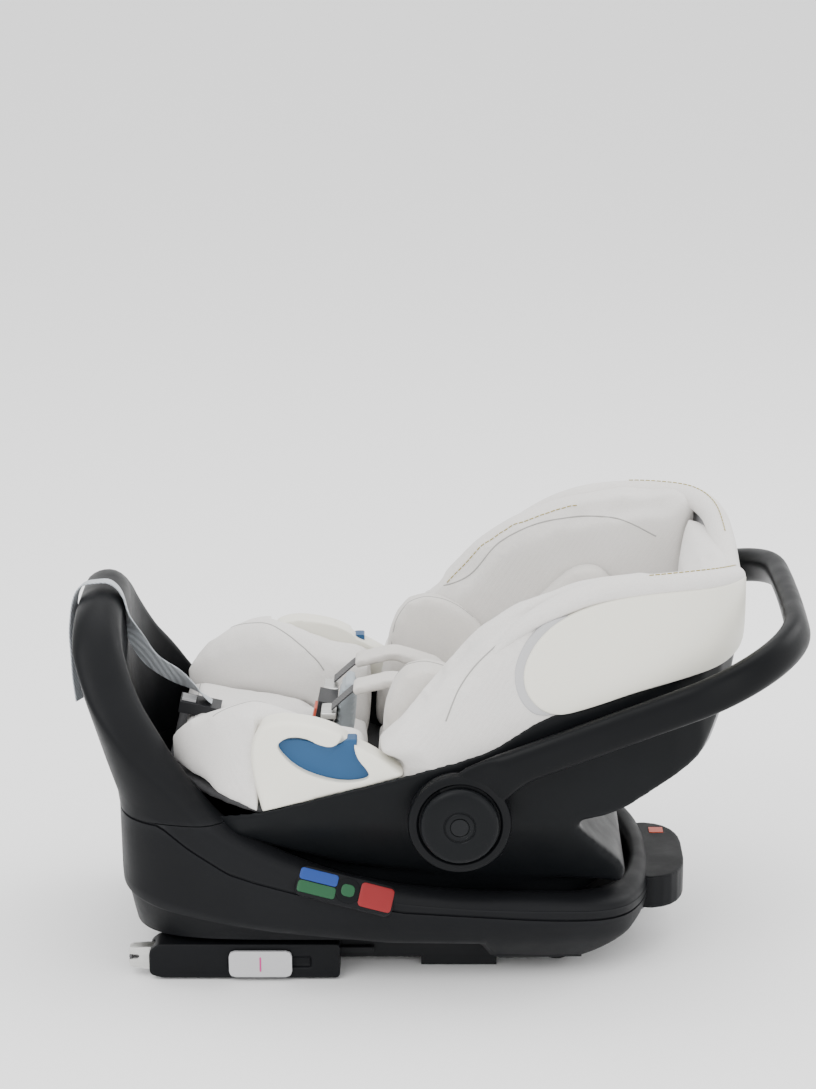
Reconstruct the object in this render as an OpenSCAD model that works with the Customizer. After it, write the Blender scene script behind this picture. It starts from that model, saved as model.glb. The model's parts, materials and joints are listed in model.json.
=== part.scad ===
// Rear-facing infant carrier clicked into its vehicle base.
// +X points to the head end, +Z up, and the floor is at z = 0.
// The occupant's left is the -Y side, and "right" is the +Y side.

/* [Carrier] */
// Length of the carrier shell from the foot tip to the head end
carrier_length = 608; // [505:1:730]
// Width of the carrier shell across its sides
carrier_width = 396; // [330:1:476]
// Wall thickness of the carrier shell
shell_wall = 5; // [3:0.5:6]
// Thickness of the foam pan inside the shell
pan_thickness = 10; // [7:0.5:13]
// Thickness of the seat and back padding
pad_thickness = 24; // [16:1:30]
// Thickness of each side bolster
bolster_thickness = 50; // [40:1:60]

/* [Handle] */
// Height of the handle's turning axis above the floor
hub_height = 197; // [180:1:240]
// Angle of the stowed handle above the horizontal
handle_tilt = 21; // [12:1:30]
// Radial size of the handle bar
handle_bar = 25; // [20:0.5:30]
// Depth of the handle bar across its plane
handle_depth = 38; // [31:0.5:46]
// Height of the arms' centre line above the hub's axis, across the arms
handle_rise = 36; // [28:1:42]
// Radius of the crossbar's outer corners
handle_corner = 126; // [106:1:134]
// Radius of the round hub at the end of each handle arm
hub_radius = 53; // [44:0.5:64]
// Radius of the hub's boss that the handle turns on
boss_radius = 15; // [12:0.5:18]
// Radius of the side-impact disc
disc_radius = 40; // [33:0.5:48]
// Gap between the handle's crossbar and the head end as it swings over
handle_clearance = 15; // [8:1:20]

/* [Base] */
// Height of the base rim beside the hubs
rim_height = 106; // [98:1:128]
// Width of the base across the skirt
base_width = 384; // [350:1:461]
// Wall thickness of the base mouldings
base_wall = 3.5; // [2.5:0.5:5]
// Height of the tub floor's top face
tub_floor = 50; // [48:0.5:54]
// Height of the rebound panel's top edge
panel_height = 388; // [350:1:440]
// Thickness of the rebound panel near its top
panel_thickness = 52; // [43:1:62]

/* [Anchors] */
// Distance between the two anchor arms
anchor_spacing = 280; // [280:1:290]
// Diameter of the vehicle's anchor bar
anchor_bar = 6; // [6:0.1:6.4]
// Length of each anchor arm's housing
arm_length = 200; // [167:1:240]
// Width of each anchor arm
arm_width = 36; // [30:1:43]
// Height of each anchor arm's housing
arm_height = 38; // [34:1:40]

/* [Load leg] */
// Width of the leg's outer tube
leg_width = 44; // [37:1:52]
// Height of the leg's outer tube
leg_height = 28; // [24:0.5:30]
// Wall thickness of the leg's outer tube
leg_wall = 2.5; // [2:0.1:3]
// Radius of the leg's hinge pin
leg_pin_radius = 5; // [4:0.1:6]

/* [Fits] */
// Gap between moving plastic pieces
play = 0.5; // [0.4:0.05:0.7]
// Gap between fixed pieces that seat on each other
seat_gap = 0.3; // [0.2:0.05:0.4]
// Radial clearance of a turning bore
bore_play = 0.06; // [0.04:0.01:0.08]

/* [Hidden] */
$fn = 48;
long = carrier_length / 608;
wide = carrier_width / 396;

// ---- plane geometry -------------------------------------------------------

// The corners of outline p rounded off over at most r, each with n + 1 points
function soft(p, r, n = 2) = let (m = len(p)) [for (i = [0:m - 1])
    let (a = p[(i + m - 1) % m], b = p[i], c = p[(i + 1) % m],
         s = b + (a - b) * min(r / norm(a - b), 0.48),
         e = b + (c - b) * min(r / norm(c - b), 0.48))
    for (t = [0:1 / n:1]) s * (1 - t) * (1 - t) + b * 2 * t * (1 - t) + e * t * t];

function unit(v) = v / norm(v);
function normal(v) = [-v[1], v[0]] / norm(v);

// Outline p moved inwards by d, when p runs counter-clockwise
function inset(p, d) = let (m = len(p)) [for (i = [0:m - 1])
    let (a = normal(p[i] - p[(i + m - 1) % m]), b = normal(p[(i + 1) % m] - p[i]), c = unit(a + b))
    p[i] + c * d / (c * a)];

// Open line p moved to its left by d
function shifted(p, d) = let (m = len(p)) [for (i = [0:m - 1])
    let (a = normal(p[max(i, 1)] - p[max(i, 1) - 1]),
         b = normal(p[min(i, m - 2) + 1] - p[min(i, m - 2)]), c = unit(a + b))
    p[i] + c * d / (c * a)];

// A band between the open line p moved by low and by high
function band(p, low, high) = concat(shifted(p, low), [for (i = [len(p) - 1:-1:0]) shifted(p, high)[i]]);

// A half outline in plan and its mirror image across the X axis
function both_halves(p) = concat(p, [for (i = [len(p) - 1:-1:0]) [p[i][0], -p[i][1]]]);

// A half outline seen from the front and its mirror image across the Z axis
function both_sides(p) = concat(p, [for (i = [len(p) - 1:-1:0]) [-p[i][0], p[i][1]]]);

// Carrier stations stretched to its length and width
function at_x(p) = [for (q = p) [q[0] * long, q[1]]];
function along(x) = x * long;
function across(y) = y * wide;

// An outline in X and Z extruded along Y
module side(p, from, to) {
    translate([0, to, 0]) rotate([90, 0, 0]) linear_extrude(to - from) polygon(p);
}

// An outline in X and Y extruded along Z
module plan(p, from, to) {
    translate([0, 0, from]) linear_extrude(to - from) polygon(p);
}

// An outline in Y and Z extruded along X
module front(p, from, to) {
    translate([from, 0, 0]) rotate([90, 0, 90]) linear_extrude(to - from) polygon(p);
}

// A box given by two opposite corners
module block(low, high) {
    translate(low) cube(high - low);
}

// A round bar along Y
module bar(x, z, r, from, to) {
    translate([x, to, z]) rotate([90, 0, 0]) cylinder(r = r, h = to - from);
}

// The +Y piece as drawn for sign 1, its mirror image for sign -1
module on_side(sign) {
    if (sign > 0) children();
    else mirror([0, 1, 0]) children();
}

// ---- driving outlines -----------------------------------------------------

shell_half = carrier_width / 2;
shell_side = at_x([[-298, 172], [-285, 118], [-190, 66], [-50, 56], [90, 58], [194, 104], [194, 126],
    [134, 188], [172, 194], [268, 252], [310, 352], [300, 362], [105, 306], [47, 267], [-182, 201]]);
shell_inner_side = concat(inset([for (i = [0:10]) shell_side[i]], shell_wall),
    [[along(310) - shell_wall, 520], [along(-298) + shell_wall, 520]]);
shell_front = both_sides([[across(136), 54], [across(143), 110], [across(190), 190], [shell_half, 230],
    [shell_half, 480]]);
shell_plan = both_halves(at_x([[-300, -across(92)], [-270, -across(138)], [-212, -across(182)],
    [-150, -across(196)], [-40, -shell_half], [190, -shell_half], [285, -across(168)], [316, -across(60)]]));

// The surface that the occupant lies on, from the foot end to the head end
seat_line = at_x([[-278, 248], [-235, 238], [-150, 222], [-70, 196], [-10, 178], [40, 184], [110, 234],
    [200, 300], [266, 348], [286, 376]]);
back_low = [along(40), 184];
back_high = [along(266), 348];
back_angle = atan2(back_high[1] - back_low[1], back_high[0] - back_low[0]);
pad_half = across(190) - bolster_thickness;

hub_x = along(20);
head_corner = [along(300), 424];
handle_inner = norm(head_corner - [hub_x, hub_height]) + handle_clearance;
handle_outer = handle_inner + handle_bar;
arm_in = shell_half + 6;
arm_thick = 20;
hub_out = arm_in + 15;
disc_thick = 9;

// Base outline in plan and along its side
tub_gap = 9;
tub_half = across(143) + tub_gap;
base_head = along(198) + 28;
base_foot = along(-298) - 37;
base_plan = both_halves([[base_foot, -base_width / 2 + 42], [base_foot + 60, -base_width / 2 + 8],
    [along(-60), -base_width / 2], [along(60), -base_width / 2], [base_head - 46, -base_width / 2 + 16],
    [base_head, -70]]);
rim_line = [[base_head, rim_height - 16], [along(165), rim_height - 5], [along(28), rim_height],
    [along(-103), rim_height + 17], [along(-205), rim_height + 54], [base_foot + 30, rim_height + 84],
    [base_foot, rim_height + 88]];
skirt_line = [[base_foot, 98], [base_foot + 45, 86], [along(-169), 62], [along(-50), 48], [along(48), 46],
    [along(64), 20], [along(150), 20], [along(196), 42], [base_head, 64]];
base_front = both_sides([[base_width / 2 - 58, 10], [base_width / 2 - 16, 50], [base_width / 2, 86],
    [base_width / 2, 400]]);
base_side = concat(skirt_line, rim_line);
tub_plan = both_halves([[along(-298) - 18, -across(110) - tub_gap], [along(-240), -tub_half],
    [along(-100), -tub_half], [along(110), -tub_half], [along(180), -tub_half + 34],
    [along(194) + tub_gap, -40]]);

rim_gap = 6;

// Everything outside the tub and no higher than the rim, each grown by its clearance and by d
module rim_relief(d) {
    lifted = [for (p = rim_line) p + [0, rim_gap + d]];
    difference() {
        side(concat([[base_foot - 40, -10], [base_head + 40, -10], [base_head + 40, lifted[0][1]]], lifted,
            [[base_foot - 40, lifted[6][1]]]), -base_width, base_width);
        plan(soft(inset(tub_plan, tub_gap + d), 40), -20, 520);
    }
}

// Height of the foam pan's top face and of the infant insert's top face at a station
function pan_top(x) = lookup(x, shifted(seat_line, -pad_thickness));
function insert_top(x) = lookup(x, shifted(seat_line, insert_thickness));

// ---- base -----------------------------------------------------------------

module base_form(d) {
    intersection() {
        plan(soft(inset(base_plan, d), 60, 3), 0, 400);
        side(soft(inset(base_side, d), 16), -base_width, base_width);
        front(soft(inset(base_front, d), 20), base_foot - 10, base_head + 10);
    }
}

head_half = 86;
head_x = base_head + 37;
head_low = 50;
head_high = 86;
pivot_x = base_head + 14;
pivot_z = 64;
leg_low = 12;
leg_slot = leg_width / 2 + 2;
level_x = along(-97);
level_y = -base_width / 2 + 20;
level_z = rim_height + 17;
level_slope = atan2(37, along(102));

// Everything below is turned to the slope of the rim at the level indicator
module at_level() {
    translate([level_x, level_y, level_z]) rotate([0, level_slope, 0]) children();
}

module base_shell() {
    color("#232527") difference() {
        base_form(0);
        difference() {
            union() {
                intersection() {
                    plan(soft(inset(base_plan, base_wall), 60, 3), -1, 99);
                    front(soft(inset(base_front, base_wall), 20), base_foot, base_head);
                    side(concat([[base_foot, -1], [base_head, -1]],
                        [for (i = [8:-1:0]) skirt_line[i] + [0, 12]]), -base_width, base_width);
                }
                base_form(base_wall);
            }
            // The tub stands in the opening with its own walls
            plan(soft(inset(tub_plan, -base_wall - 1), 40), 40, 400);
        }
        plan(soft(inset(tub_plan, -base_wall - seat_gap), 40), -1, 400);
        block([base_head - 40, -head_half - seat_gap, head_low - seat_gap],
            [base_head + 20, head_half + seat_gap, head_high + seat_gap]);
        block([along(60), -leg_slot - 2, -1], [base_head + 20, leg_slot + 2, head_low + 1]);
        at_level() block([-52, -13, -14.5], [52, 13, 20]);
    }
}

// The open tub that receives the carrier, with a level floor
module tub_shell() {
    tub_side = concat([[base_foot - 20, tub_floor - base_wall], [base_head, tub_floor - base_wall]], rim_line);
    tub_inner = [[base_foot - 20, tub_floor], [base_head, tub_floor], [base_head, 400], [base_foot - 20, 400]];
    color("#1e2022") difference() {
        intersection() {
            plan(soft(inset(tub_plan, -base_wall), 40), 0, 400);
            side(tub_side, -base_width, base_width);
        }
        intersection() {
            plan(soft(tub_plan, 40), 0, 400);
            side(tub_inner, -base_width, base_width);
        }
        for (x = receiver_x) bar(x, receiver_z, receiver_radius, -base_width, base_width);
        block([along(-298) - 40, -across(96), rim_height + 60], [along(-298), across(96), 400]);
    }
}

panel_lean = [[base_foot, rim_height + 88 + seat_gap], [base_foot - 14, rim_height + 125],
    [base_foot - 46, panel_height - 44]];
panel_side = concat([for (i = [2:-1:0]) panel_lean[i]],
    [[base_foot + 30, rim_height + 84 + seat_gap], [base_foot + 74, rim_height + 73 + seat_gap],
     [base_foot + 52, rim_height + 116], [base_foot + 29, rim_height + 164],
     [base_foot - 46 + panel_thickness, panel_height - 44],
     [base_foot - 52 + panel_thickness, panel_height - 6], [base_foot - 18, panel_height],
     [base_foot - 42, panel_height - 12]]);
panel_front = both_sides([[base_width / 2 - 10, 100], [base_width / 2 - 10, rim_height + 90],
    [base_width / 2 - 38, panel_height - 50], [base_width / 2 - 92, panel_height],
    [base_width / 2 - 160, panel_height + 2]]);

module panel_form(d) {
    intersection() {
        side(inset(panel_side, d), -base_width, base_width);
        front(soft(inset(panel_front, d), 50, 3), base_foot - 80, base_foot + 140);
    }
}

// Front half of the rebound panel: the shell that faces the carrier
module rebound_panel() {
    color("#242628") difference() {
        panel_form(0);
        translate([-base_wall, 0, 0]) panel_form(base_wall);
        plan(soft(tub_plan, 40), 60, panel_height + 40);
        panel_back(0, -1);
    }
}

// The slab along the panel's rear face, thick mm deep, or everything behind it for a negative value
module panel_back(margin, thick) {
    outer = concat([[base_foot, rim_height + 88 + seat_gap - margin]],
        [panel_lean[1], panel_lean[2], [base_foot - 42, panel_height - 12]]);
    inner = [for (p = outer) p + [base_wall, 0]];
    deep = [for (p = outer) p - [60, 0]];
    side(concat(inner, [for (i = [3:-1:0]) (thick > 0 ? outer : deep)[i]]), -base_width, base_width);
}

module panel_back_cover() {
    color("#202224") intersection() {
        translate([-seat_gap, 0, 0]) panel_back(0, 1);
        panel_form(0);
    }
}

tray_x = [base_foot + 45, along(150)];
tray_in = leg_slot + 34;
tray_out = anchor_spacing / 2 - arm_width / 2 - 3;
tray_low = 10;
foot_x = [along(-20), along(60)];
rail_z = [18, 24];
rail_depth = 6;

// Two bottom trays beside the folded leg, with rails for the anchor arms
module base_tray() {
    color("#1b1d1f") for (sign = [1, -1]) on_side(sign) difference() {
        union() {
            block([tray_x[0], tray_in, tray_low], [tray_x[1], tray_out, tub_floor - base_wall - seat_gap]);
            block([tray_x[0], tray_out - 1, rail_z[0]],
                [tray_x[0] + arm_length + 20, tray_out + 3 + rail_depth, rail_z[1]]);
        }
        block([tray_x[0] + base_wall, tray_in + base_wall, tray_low + base_wall],
            [foot_x[0] - base_wall - play, tray_out - base_wall, tub_floor]);
        block([foot_x[1] + base_wall + play, tray_in + base_wall, tray_low + base_wall],
            [tray_x[1] - base_wall, tray_out - base_wall, tub_floor]);
        block([foot_x[0] - play, tray_in + 2 - play, 0], [foot_x[1] + play, tray_out - 2 + play, tub_floor]);
    }
}

module rubber_feet() {
    color("#111111") for (sign = [1, -1], x = [tray_x[0] + 26, tray_x[1] - 26])
        translate([x, sign * (tray_in + tray_out) / 2, 0]) cylinder(r = 12, h = tray_low);
}

// Two blocks that step down together to raise the head end
module recline_foot() {
    color("#191b1d") for (sign = [1, -1]) on_side(sign) {
        block([foot_x[0], tray_in + 2, 0], [foot_x[1], tray_out - 2, tub_floor - base_wall - 4]);
    }
}

receiver_x = [along(-150), along(112)];
receiver_z = 76;
receiver_radius = 4;

// Steel bars across the tub, which the carrier's hooks catch
module receiver_bars() {
    color("silver") intersection() {
        for (x = receiver_x) bar(x, receiver_z, receiver_radius, -base_width, base_width);
        plan(soft(inset(tub_plan, -base_wall), 40), 0, 400);
    }
}

module level_housing() {
    color("#141617") at_level() difference() {
        block([-52 + seat_gap, -13 + seat_gap, -14], [52 - seat_gap, 13 - seat_gap, -1]);
        translate([-40, 0, -6.5]) rotate([0, 90, 0]) cylinder(r = 5, h = 80);
        block([-40, -4, -6.5], [40, 4, 0]);
    }
}

module level_window() {
    color("#6fb3e8") at_level() block([-51, -12, -1 + 0.05], [51, 12, 2]);
}

// The ball that rolls along the indicator's tube
module level_ball() {
    color("#d9dcde") at_level() translate([0, 0, -6.5 + 0.3]) sphere(r = 4.2);
}

// ---- anchor arms ----------------------------------------------------------

arm_low = 2;
arm_y = anchor_spacing / 2;
arm_head = tray_x[0] + arm_length - 15;
arm_foot = arm_head - arm_length;
bar_x = arm_foot - 14;
bar_z = arm_low + 20;
bar_radius = anchor_bar / 2 + 0.03;
jaw_x = arm_foot + 8;
jaw_z = arm_low + 11;
cheek = 3;

module anchor_arm(sign) {
    color("#26282a") on_side(sign) difference() {
        side(soft([[arm_foot, arm_low + 4], [arm_foot + 12, arm_low], [arm_head, arm_low],
            [arm_head, arm_low + arm_height], [arm_foot + 10, arm_low + arm_height],
            [arm_foot, arm_low + arm_height - 8]], 4), arm_y - arm_width / 2, arm_y + arm_width / 2);
        // The groove that runs on the tray's rail
        block([arm_foot - 1, arm_y - arm_width / 2 - 1, rail_z[0] - play],
            [arm_head + 1, tray_out + 3 + rail_depth + play, rail_z[1] + play]);
        // The pocket that holds the steel tip and its jaw
        block([arm_foot - 1, arm_y - 8, arm_low - 1], [arm_foot + 30, arm_y + 8, arm_low + arm_height - 4]);
        // The slider's track on the outer face
        block([slider_x[0] - play, arm_y + arm_width / 2 - 4, 14], [slider_x[1] + 20, arm_y + 40, 26]);
    }
}

// Two steel cheeks with the bar's slot, joined by a rivet
module anchor_tip(sign) {
    color("silver") on_side(sign) {
        for (y = [arm_y - 8 + seat_gap, arm_y + 8 - seat_gap - cheek]) difference() {
            side(soft([[bar_x - 8, bar_z - 11], [arm_foot + 28, arm_low + 1], [arm_foot + 28, bar_z + 12],
                [bar_x - 8, bar_z + 10]], 4), y, y + cheek);
            bar(bar_x, bar_z, bar_radius, y - 1, y + cheek + 1);
            block([bar_x - 20, y - 1, bar_z - bar_radius], [bar_x, y + cheek + 1, bar_z + bar_radius]);
            bar(jaw_x, jaw_z, 2.5, y - 1, y + cheek + 1);
        }
        bar(jaw_x, jaw_z, 2.5, arm_y - 8 + seat_gap, arm_y + 8 - seat_gap);
        block([arm_foot + 22, arm_y - 8 + seat_gap, bar_z + 2],
            [arm_foot + 28, arm_y + 8 - seat_gap, bar_z + 6]);
    }
}

// The hook between the cheeks that closes under the bar
module anchor_jaw(sign) {
    jaw = [[bar_x - 6, bar_z - 9], [jaw_x + 3, jaw_z - 5], [jaw_x + 6, jaw_z + 4], [jaw_x - 4, jaw_z + 5],
        [bar_x + 2, bar_z - 4.5], [bar_x - 5, bar_z - 4.5], [bar_x - 5, bar_z - 1], [bar_x - 8, bar_z - 1]];
    color("#8a8f94") on_side(sign) difference() {
        union() {
            side(jaw, arm_y - 4.2, arm_y + 4.2);
            bar(jaw_x, jaw_z, 5, arm_y - 4.2, arm_y + 4.2);
        }
        bar(jaw_x, jaw_z, 2.5 + bore_play, arm_y - 5, arm_y + 5);
    }
}

slider_x = [arm_foot + 84, arm_foot + 150];

// The grip that the hand pulls to open the jaw
module anchor_slider(sign) {
    face = arm_y + arm_width / 2;
    color("#b9bcbd") on_side(sign) union() {
        block([slider_x[0], face - 4 + play, 14 + play], [slider_x[1] - 4, face + 1, 26 - play]);
        side(soft([[slider_x[0], arm_low + 3], [slider_x[1], arm_low + 3], [slider_x[1], 34],
            [slider_x[0], 34]], 6), face + play, face + 5);
    }
}

// ---- load leg -------------------------------------------------------------

leg_head_slot = leg_width / 2 - 6;

module leg_head() {
    color("#2a2c2e") difference() {
        plan(soft(both_halves([[base_head - 18, -head_half], [head_x - 18, -head_half + 6],
            [head_x, -head_half + 40]]), 24, 3), head_low, head_high);
        block([base_head - 40, -leg_head_slot - play, head_low - 1],
            [head_x + 10, leg_head_slot + play, head_high - 4]);
        bar(pivot_x, pivot_z, leg_pin_radius, -leg_head_slot - 20, leg_head_slot + 20);
        block([base_head + 4, 50, head_high - 2], [base_head + 20, 66, head_high + 1]);
    }
}

module leg_pin() {
    color("silver") bar(pivot_x, pivot_z, leg_pin_radius, -leg_head_slot - 20, leg_head_slot + 20);
}

// A coloured window that shows whether the leg is locked
module leg_lock_window() {
    color("#d23a34") block([base_head + 4 + seat_gap, 50 + seat_gap, head_high - 2],
        [base_head + 20 - seat_gap, 66 - seat_gap, head_high + 0.4]);
}

leg_top = leg_low + leg_height;
leg_start = base_head - 20;
leg_end = along(-60);

// The outer tube with the knuckle that turns on the pin
module leg_outer_tube() {
    knuckle = [[leg_start - 40, leg_low + 2], [leg_start + 6, leg_low + 4], [pivot_x + 12, pivot_z - 18],
        [pivot_x + 13, pivot_z], [pivot_x - 13, pivot_z], [pivot_x - 22, leg_top + 2], [leg_start - 40, leg_top - 2]];
    color("#3a3d40") difference() {
        union() {
            difference() {
                block([leg_end, -leg_width / 2, leg_low], [leg_start, leg_width / 2, leg_top]);
                block([leg_end - 1, -leg_width / 2 + leg_wall, leg_low + leg_wall],
                    [leg_start - 42, leg_width / 2 - leg_wall, leg_top - leg_wall]);
            }
            side(knuckle, -leg_head_slot, leg_head_slot);
            bar(pivot_x, pivot_z, 13, -leg_head_slot, leg_head_slot);
        }
        bar(pivot_x, pivot_z, leg_pin_radius + bore_play, -leg_width, leg_width);
        block([leg_end + 10, -9 - play, leg_low - 1], [leg_end + 26, 9 + play, leg_low + leg_wall + 1]);
    }
}

module leg_inner_tube() {
    inner_half = leg_width / 2 - leg_wall - play;
    low = leg_low + leg_wall + play;
    high = leg_top - leg_wall - play;
    color("#c4c7c9") difference() {
        block([leg_end - 25, -inner_half, low], [leg_start - 46, inner_half, high]);
        block([leg_end - 26, -inner_half + 2, low + 2], [leg_start - 45, inner_half - 2, high - 2]);
        block([leg_end - 26, -9 - 2 * play, low - 1], [leg_start - 45, 9 + 2 * play, low + 3]);
    }
}

// The wide foot that meets the vehicle's floor
module leg_foot() {
    color("#17191a") difference() {
        side(soft([[leg_end - 50, leg_low - 4], [leg_end - 36, leg_low - 6], [leg_end - 4, leg_low],
            [leg_end - 4, leg_top], [leg_end - 40, leg_top + 3], [leg_end - 50, leg_top + 3]], 6), -45, 45);
        block([leg_end - 25, -leg_width / 2 + leg_wall + play, leg_low + leg_wall + play],
            [leg_end, leg_width / 2 - leg_wall - play, leg_top - leg_wall - play]);
    }
}

module leg_button() {
    color("#6d7275") block([leg_end + 10, -9, leg_low - 2], [leg_end + 26, 9, leg_low + leg_wall + 1]);
}

// ---- carrier shell --------------------------------------------------------

// The space inside the shell, drawn d smaller all round
module carrier_space(d) {
    difference() {
        intersection() {
            side(inset(shell_inner_side, d), -shell_half, shell_half);
            upright_space(d);
        }
        rim_relief(shell_wall + d);
    }
}

// The same space with no floor and no ends
module upright_space(d) {
    intersection() {
        front(soft(inset(shell_front, shell_wall + d), 14), along(-400), along(400));
        plan(soft(inset(shell_plan, shell_wall + d), 60, 3), 0, 520);
    }
}

module carrier_shell() {
    color("#1d1f21") union() {
        difference() {
            intersection() {
                side(soft(shell_side, 16), -shell_half, shell_half);
                front(soft(shell_front, 14), along(-400), along(400));
                plan(soft(shell_plan, 60, 3), 0, 520);
            }
            rim_relief(0);
            carrier_space(0);
            // Slots that drop over the base's receiver bars
            for (x = receiver_x) block([x - 11, -shell_half, 0],
                [x + 11, shell_half, receiver_z + receiver_radius + seat_gap]);
            block([hook_x - 34, -hook_half - 1, 0], [hook_x + 14, hook_half + 1, hook_z + 4]);
            for (sign = [1, -1]) on_side(sign) bar(hub_x, hub_height, 9, shell_half - 30, shell_half + 30);
        }
        // Ears and pins that the hook and the release lever turn on
        for (sign = [1, -1]) on_side(sign) {
            block([hook_x - 8, hook_half + 1, hook_z - 24], [hook_x + 8, hook_half + 6, hook_z + 8]);
            side([[lever_x - 6, lever_z - 6], [lever_x + 6, lever_z - 6], [lever_x + 10, lever_z + 17],
                [lever_x - 6, lever_z + 11]], lever_half + play, lever_half + play + 6);
        }
        bar(hook_x, hook_z, 3, -hook_half - 2, hook_half + 2);
        bar(lever_x, lever_z, 3, -lever_half - 2, lever_half + 2);
    }
}

// The crushable foam pan that carries the padding
module foam_pan() {
    color("#d8d8d4") intersection() {
        side(band(seat_line, -pad_thickness - pan_thickness, -pad_thickness - seat_gap), -shell_half, shell_half);
        carrier_space(seat_gap);
    }
}

// The fixed bosses that the handle turns on and the side discs slide in
module hub_sockets() {
    color("#26282a") for (sign = [1, -1]) on_side(sign) difference() {
        union() {
            bar(hub_x, hub_height, 38, shell_half, arm_in - play);
            bar(hub_x, hub_height, boss_radius, shell_half, hub_out - play);
            bar(hub_x, hub_height, 9, shell_half - shell_wall, shell_half + 1);
        }
        bar(hub_x, hub_height, boss_radius - 3.5, arm_in - 4, hub_out + 1);
    }
}

// ---- belt guides and side panels -----------------------------------------

guide_in = across(158);
guide_side = at_x([[-186, 203], [-40, 238], [-38, 246], [-86, 271], [-94, 257], [-107, 257], [-114, 275],
    [-150, 288], [-180, 284]]);
pocket_side = at_x([[-160, 236], [-120, 244], [-80, 254], [-72, 262], [-88, 262], [-118, 258], [-140, 272],
    [-158, 270], [-166, 254]]);

// The guide that the vehicle's lap belt passes over, with a notch in its top
module belt_guide(sign) {
    color("#e9e6dc") on_side(sign) difference() {
        side(soft(guide_side, 8), guide_in, across(190));
        side(soft(inset(pocket_side, -seat_gap), 6), across(190) - 8, across(200));
    }
}

module belt_pockets() {
    color("#3f6f9f") for (sign = [1, -1]) on_side(sign) side(soft(pocket_side, 6), across(190) - 8 + seat_gap, across(190) - 2);
}

panel_outline = at_x([[84, 330], [116, 314], [200, 345], [306, 372], [312, 396], [272, 432], [206, 441],
    [138, 430], [84, 382]]);

// The smooth panel on the outside of each head-side bolster
module side_panel(sign) {
    color("#eceadf") on_side(sign) difference() {
        intersection() {
            side(soft(panel_outline, 30, 3), 60, shell_half + 2.5);
            plan(soft(inset(shell_plan, -2.5), 60, 3), 200, 500);
        }
        plan(soft(inset(shell_plan, shell_wall), 60, 3), 100, 520);
        side(concat([for (i = [11:13]) shell_side[i] + [0, seat_gap]],
            [[along(105), 200], [along(330), 200], [along(330), 362 + seat_gap]]), 0, shell_half + 5);
    }
}

// ---- padding --------------------------------------------------------------

soft_gap = 0.5;

// Bottom and back padding down the middle of the seat
module seat_pad() {
    line = [for (i = [3:8]) seat_line[i]];
    color("#dedcd6") side(band(line, -pad_thickness + soft_gap, 0), -pad_half + soft_gap, pad_half - soft_gap);
}

bolster_top = at_x([[-70, 268], [0, 350], [35, 386], [74, 412], [137, 436], [200, 446], [250, 440],
    [284, 424], [300, 396]]);

module side_bolster(sign) {
    foot = shifted([for (i = [3:8]) seat_line[i]], -pad_thickness + soft_gap);
    color("#e2e1dd") on_side(sign) difference() {
        intersection() {
            side(concat(foot, [[along(294), 362]], [for (i = [8:-1:0]) bolster_top[i]]), pad_half, across(191));
            upright_space(soft_gap);
        }
        side(soft(inset(guide_side, -soft_gap), 8), guide_in - soft_gap, across(200));
    }
}

leg_cover = at_x([[-296, 204], [-301, 250], [-268, 268], [-190, 288], [-120, 268], [-76, 262], [-73, 196]]);

// The fabric wall beside each leg, which folds over the foot end
module leg_bolster(sign) {
    foot = shifted([for (i = [0:3]) seat_line[i]], -pad_thickness + soft_gap);
    color("#dcd9d0") on_side(sign) difference() {
        intersection() {
            side(concat(foot, [for (i = [6:-1:0]) leg_cover[i] + (i == 6 ? [along(-1), 20] : [0, 0])]),
                across(110), shell_half);
            upright_space(soft_gap);
        }
        rim_relief(shell_wall + soft_gap);
        block([along(-196), guide_in - soft_gap, 150], [along(-30), across(200), 400]);
    }
}

// The padding across the foot end, between the leg covers
module foot_pad() {
    line = [for (i = [0:3]) seat_line[i]];
    color("#dedcd6") difference() {
        side(band(line, -pad_thickness + soft_gap, 0), -across(110) + soft_gap, across(110) - soft_gap);
        block([along(-74), -300, 0], [0, 300, 400]);
        at_plate() block([-22 - soft_gap, -16 - soft_gap, -8 - soft_gap], [22 + soft_gap, 16 + soft_gap, 20]);
        block([along(-141), -28, 100], [along(-94), 28, 300]);
    }
}

// The padding that closes the head end
module head_pad() {
    color("#e2e1dd") intersection() {
        side(at_x([[267, 350], [285.5, 336.5], [299.5, 356], [303, 366], [305, 374], [306, 398], [296, 422],
            [266, 424], [262, 374]]), -pad_half + soft_gap, pad_half - soft_gap);
        plan(soft(inset(shell_plan, shell_wall + soft_gap), 60, 3), 0, 520);
    }
}

wing = 46;
insert_thickness = 14;
insert_side = at_x([[-62, 200], [-60, 300], [-36, 342], [8, 340], [56, 300], [74, 212], [40, 190], [-8, 184]]);

// The small infant insert: a thin cushion with a wing at each side
module newborn_insert() {
    line = [for (i = [3:6]) seat_line[i]];
    color("#e8e5dd") union() {
        side(band(line, soft_gap, insert_thickness), -pad_half + 2, pad_half - 2);
        for (sign = [1, -1]) on_side(sign)
            side(soft(insert_side, 24), pad_half - 2 - wing, pad_half - 2);
    }
}

// Coordinates along and across the back from the low end of the back line
module on_back(t, h) {
    translate([back_low[0], 0, back_low[1]]) rotate([0, -back_angle, 0]) translate([t, 0, h]) children();
}

headrest_play = 0.8;

// The head support, which slides along the back
module headrest() {
    color("#e6e4de") on_back(norm(back_high - back_low) - 188, headrest_play) union() {
        block([0, -pad_half + 2, 0], [130, pad_half - 2, 18]);
        for (sign = [1, -1]) on_side(sign)
            side(soft([[0, 0], [130, 0], [130, 60], [96, 84], [40, 84], [0, 50]], 20), pad_half - 44, pad_half - 2);
    }
}

// ---- harness --------------------------------------------------------------

buckle_x = along(-123.5);
buckle_tilt = 78;

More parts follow.
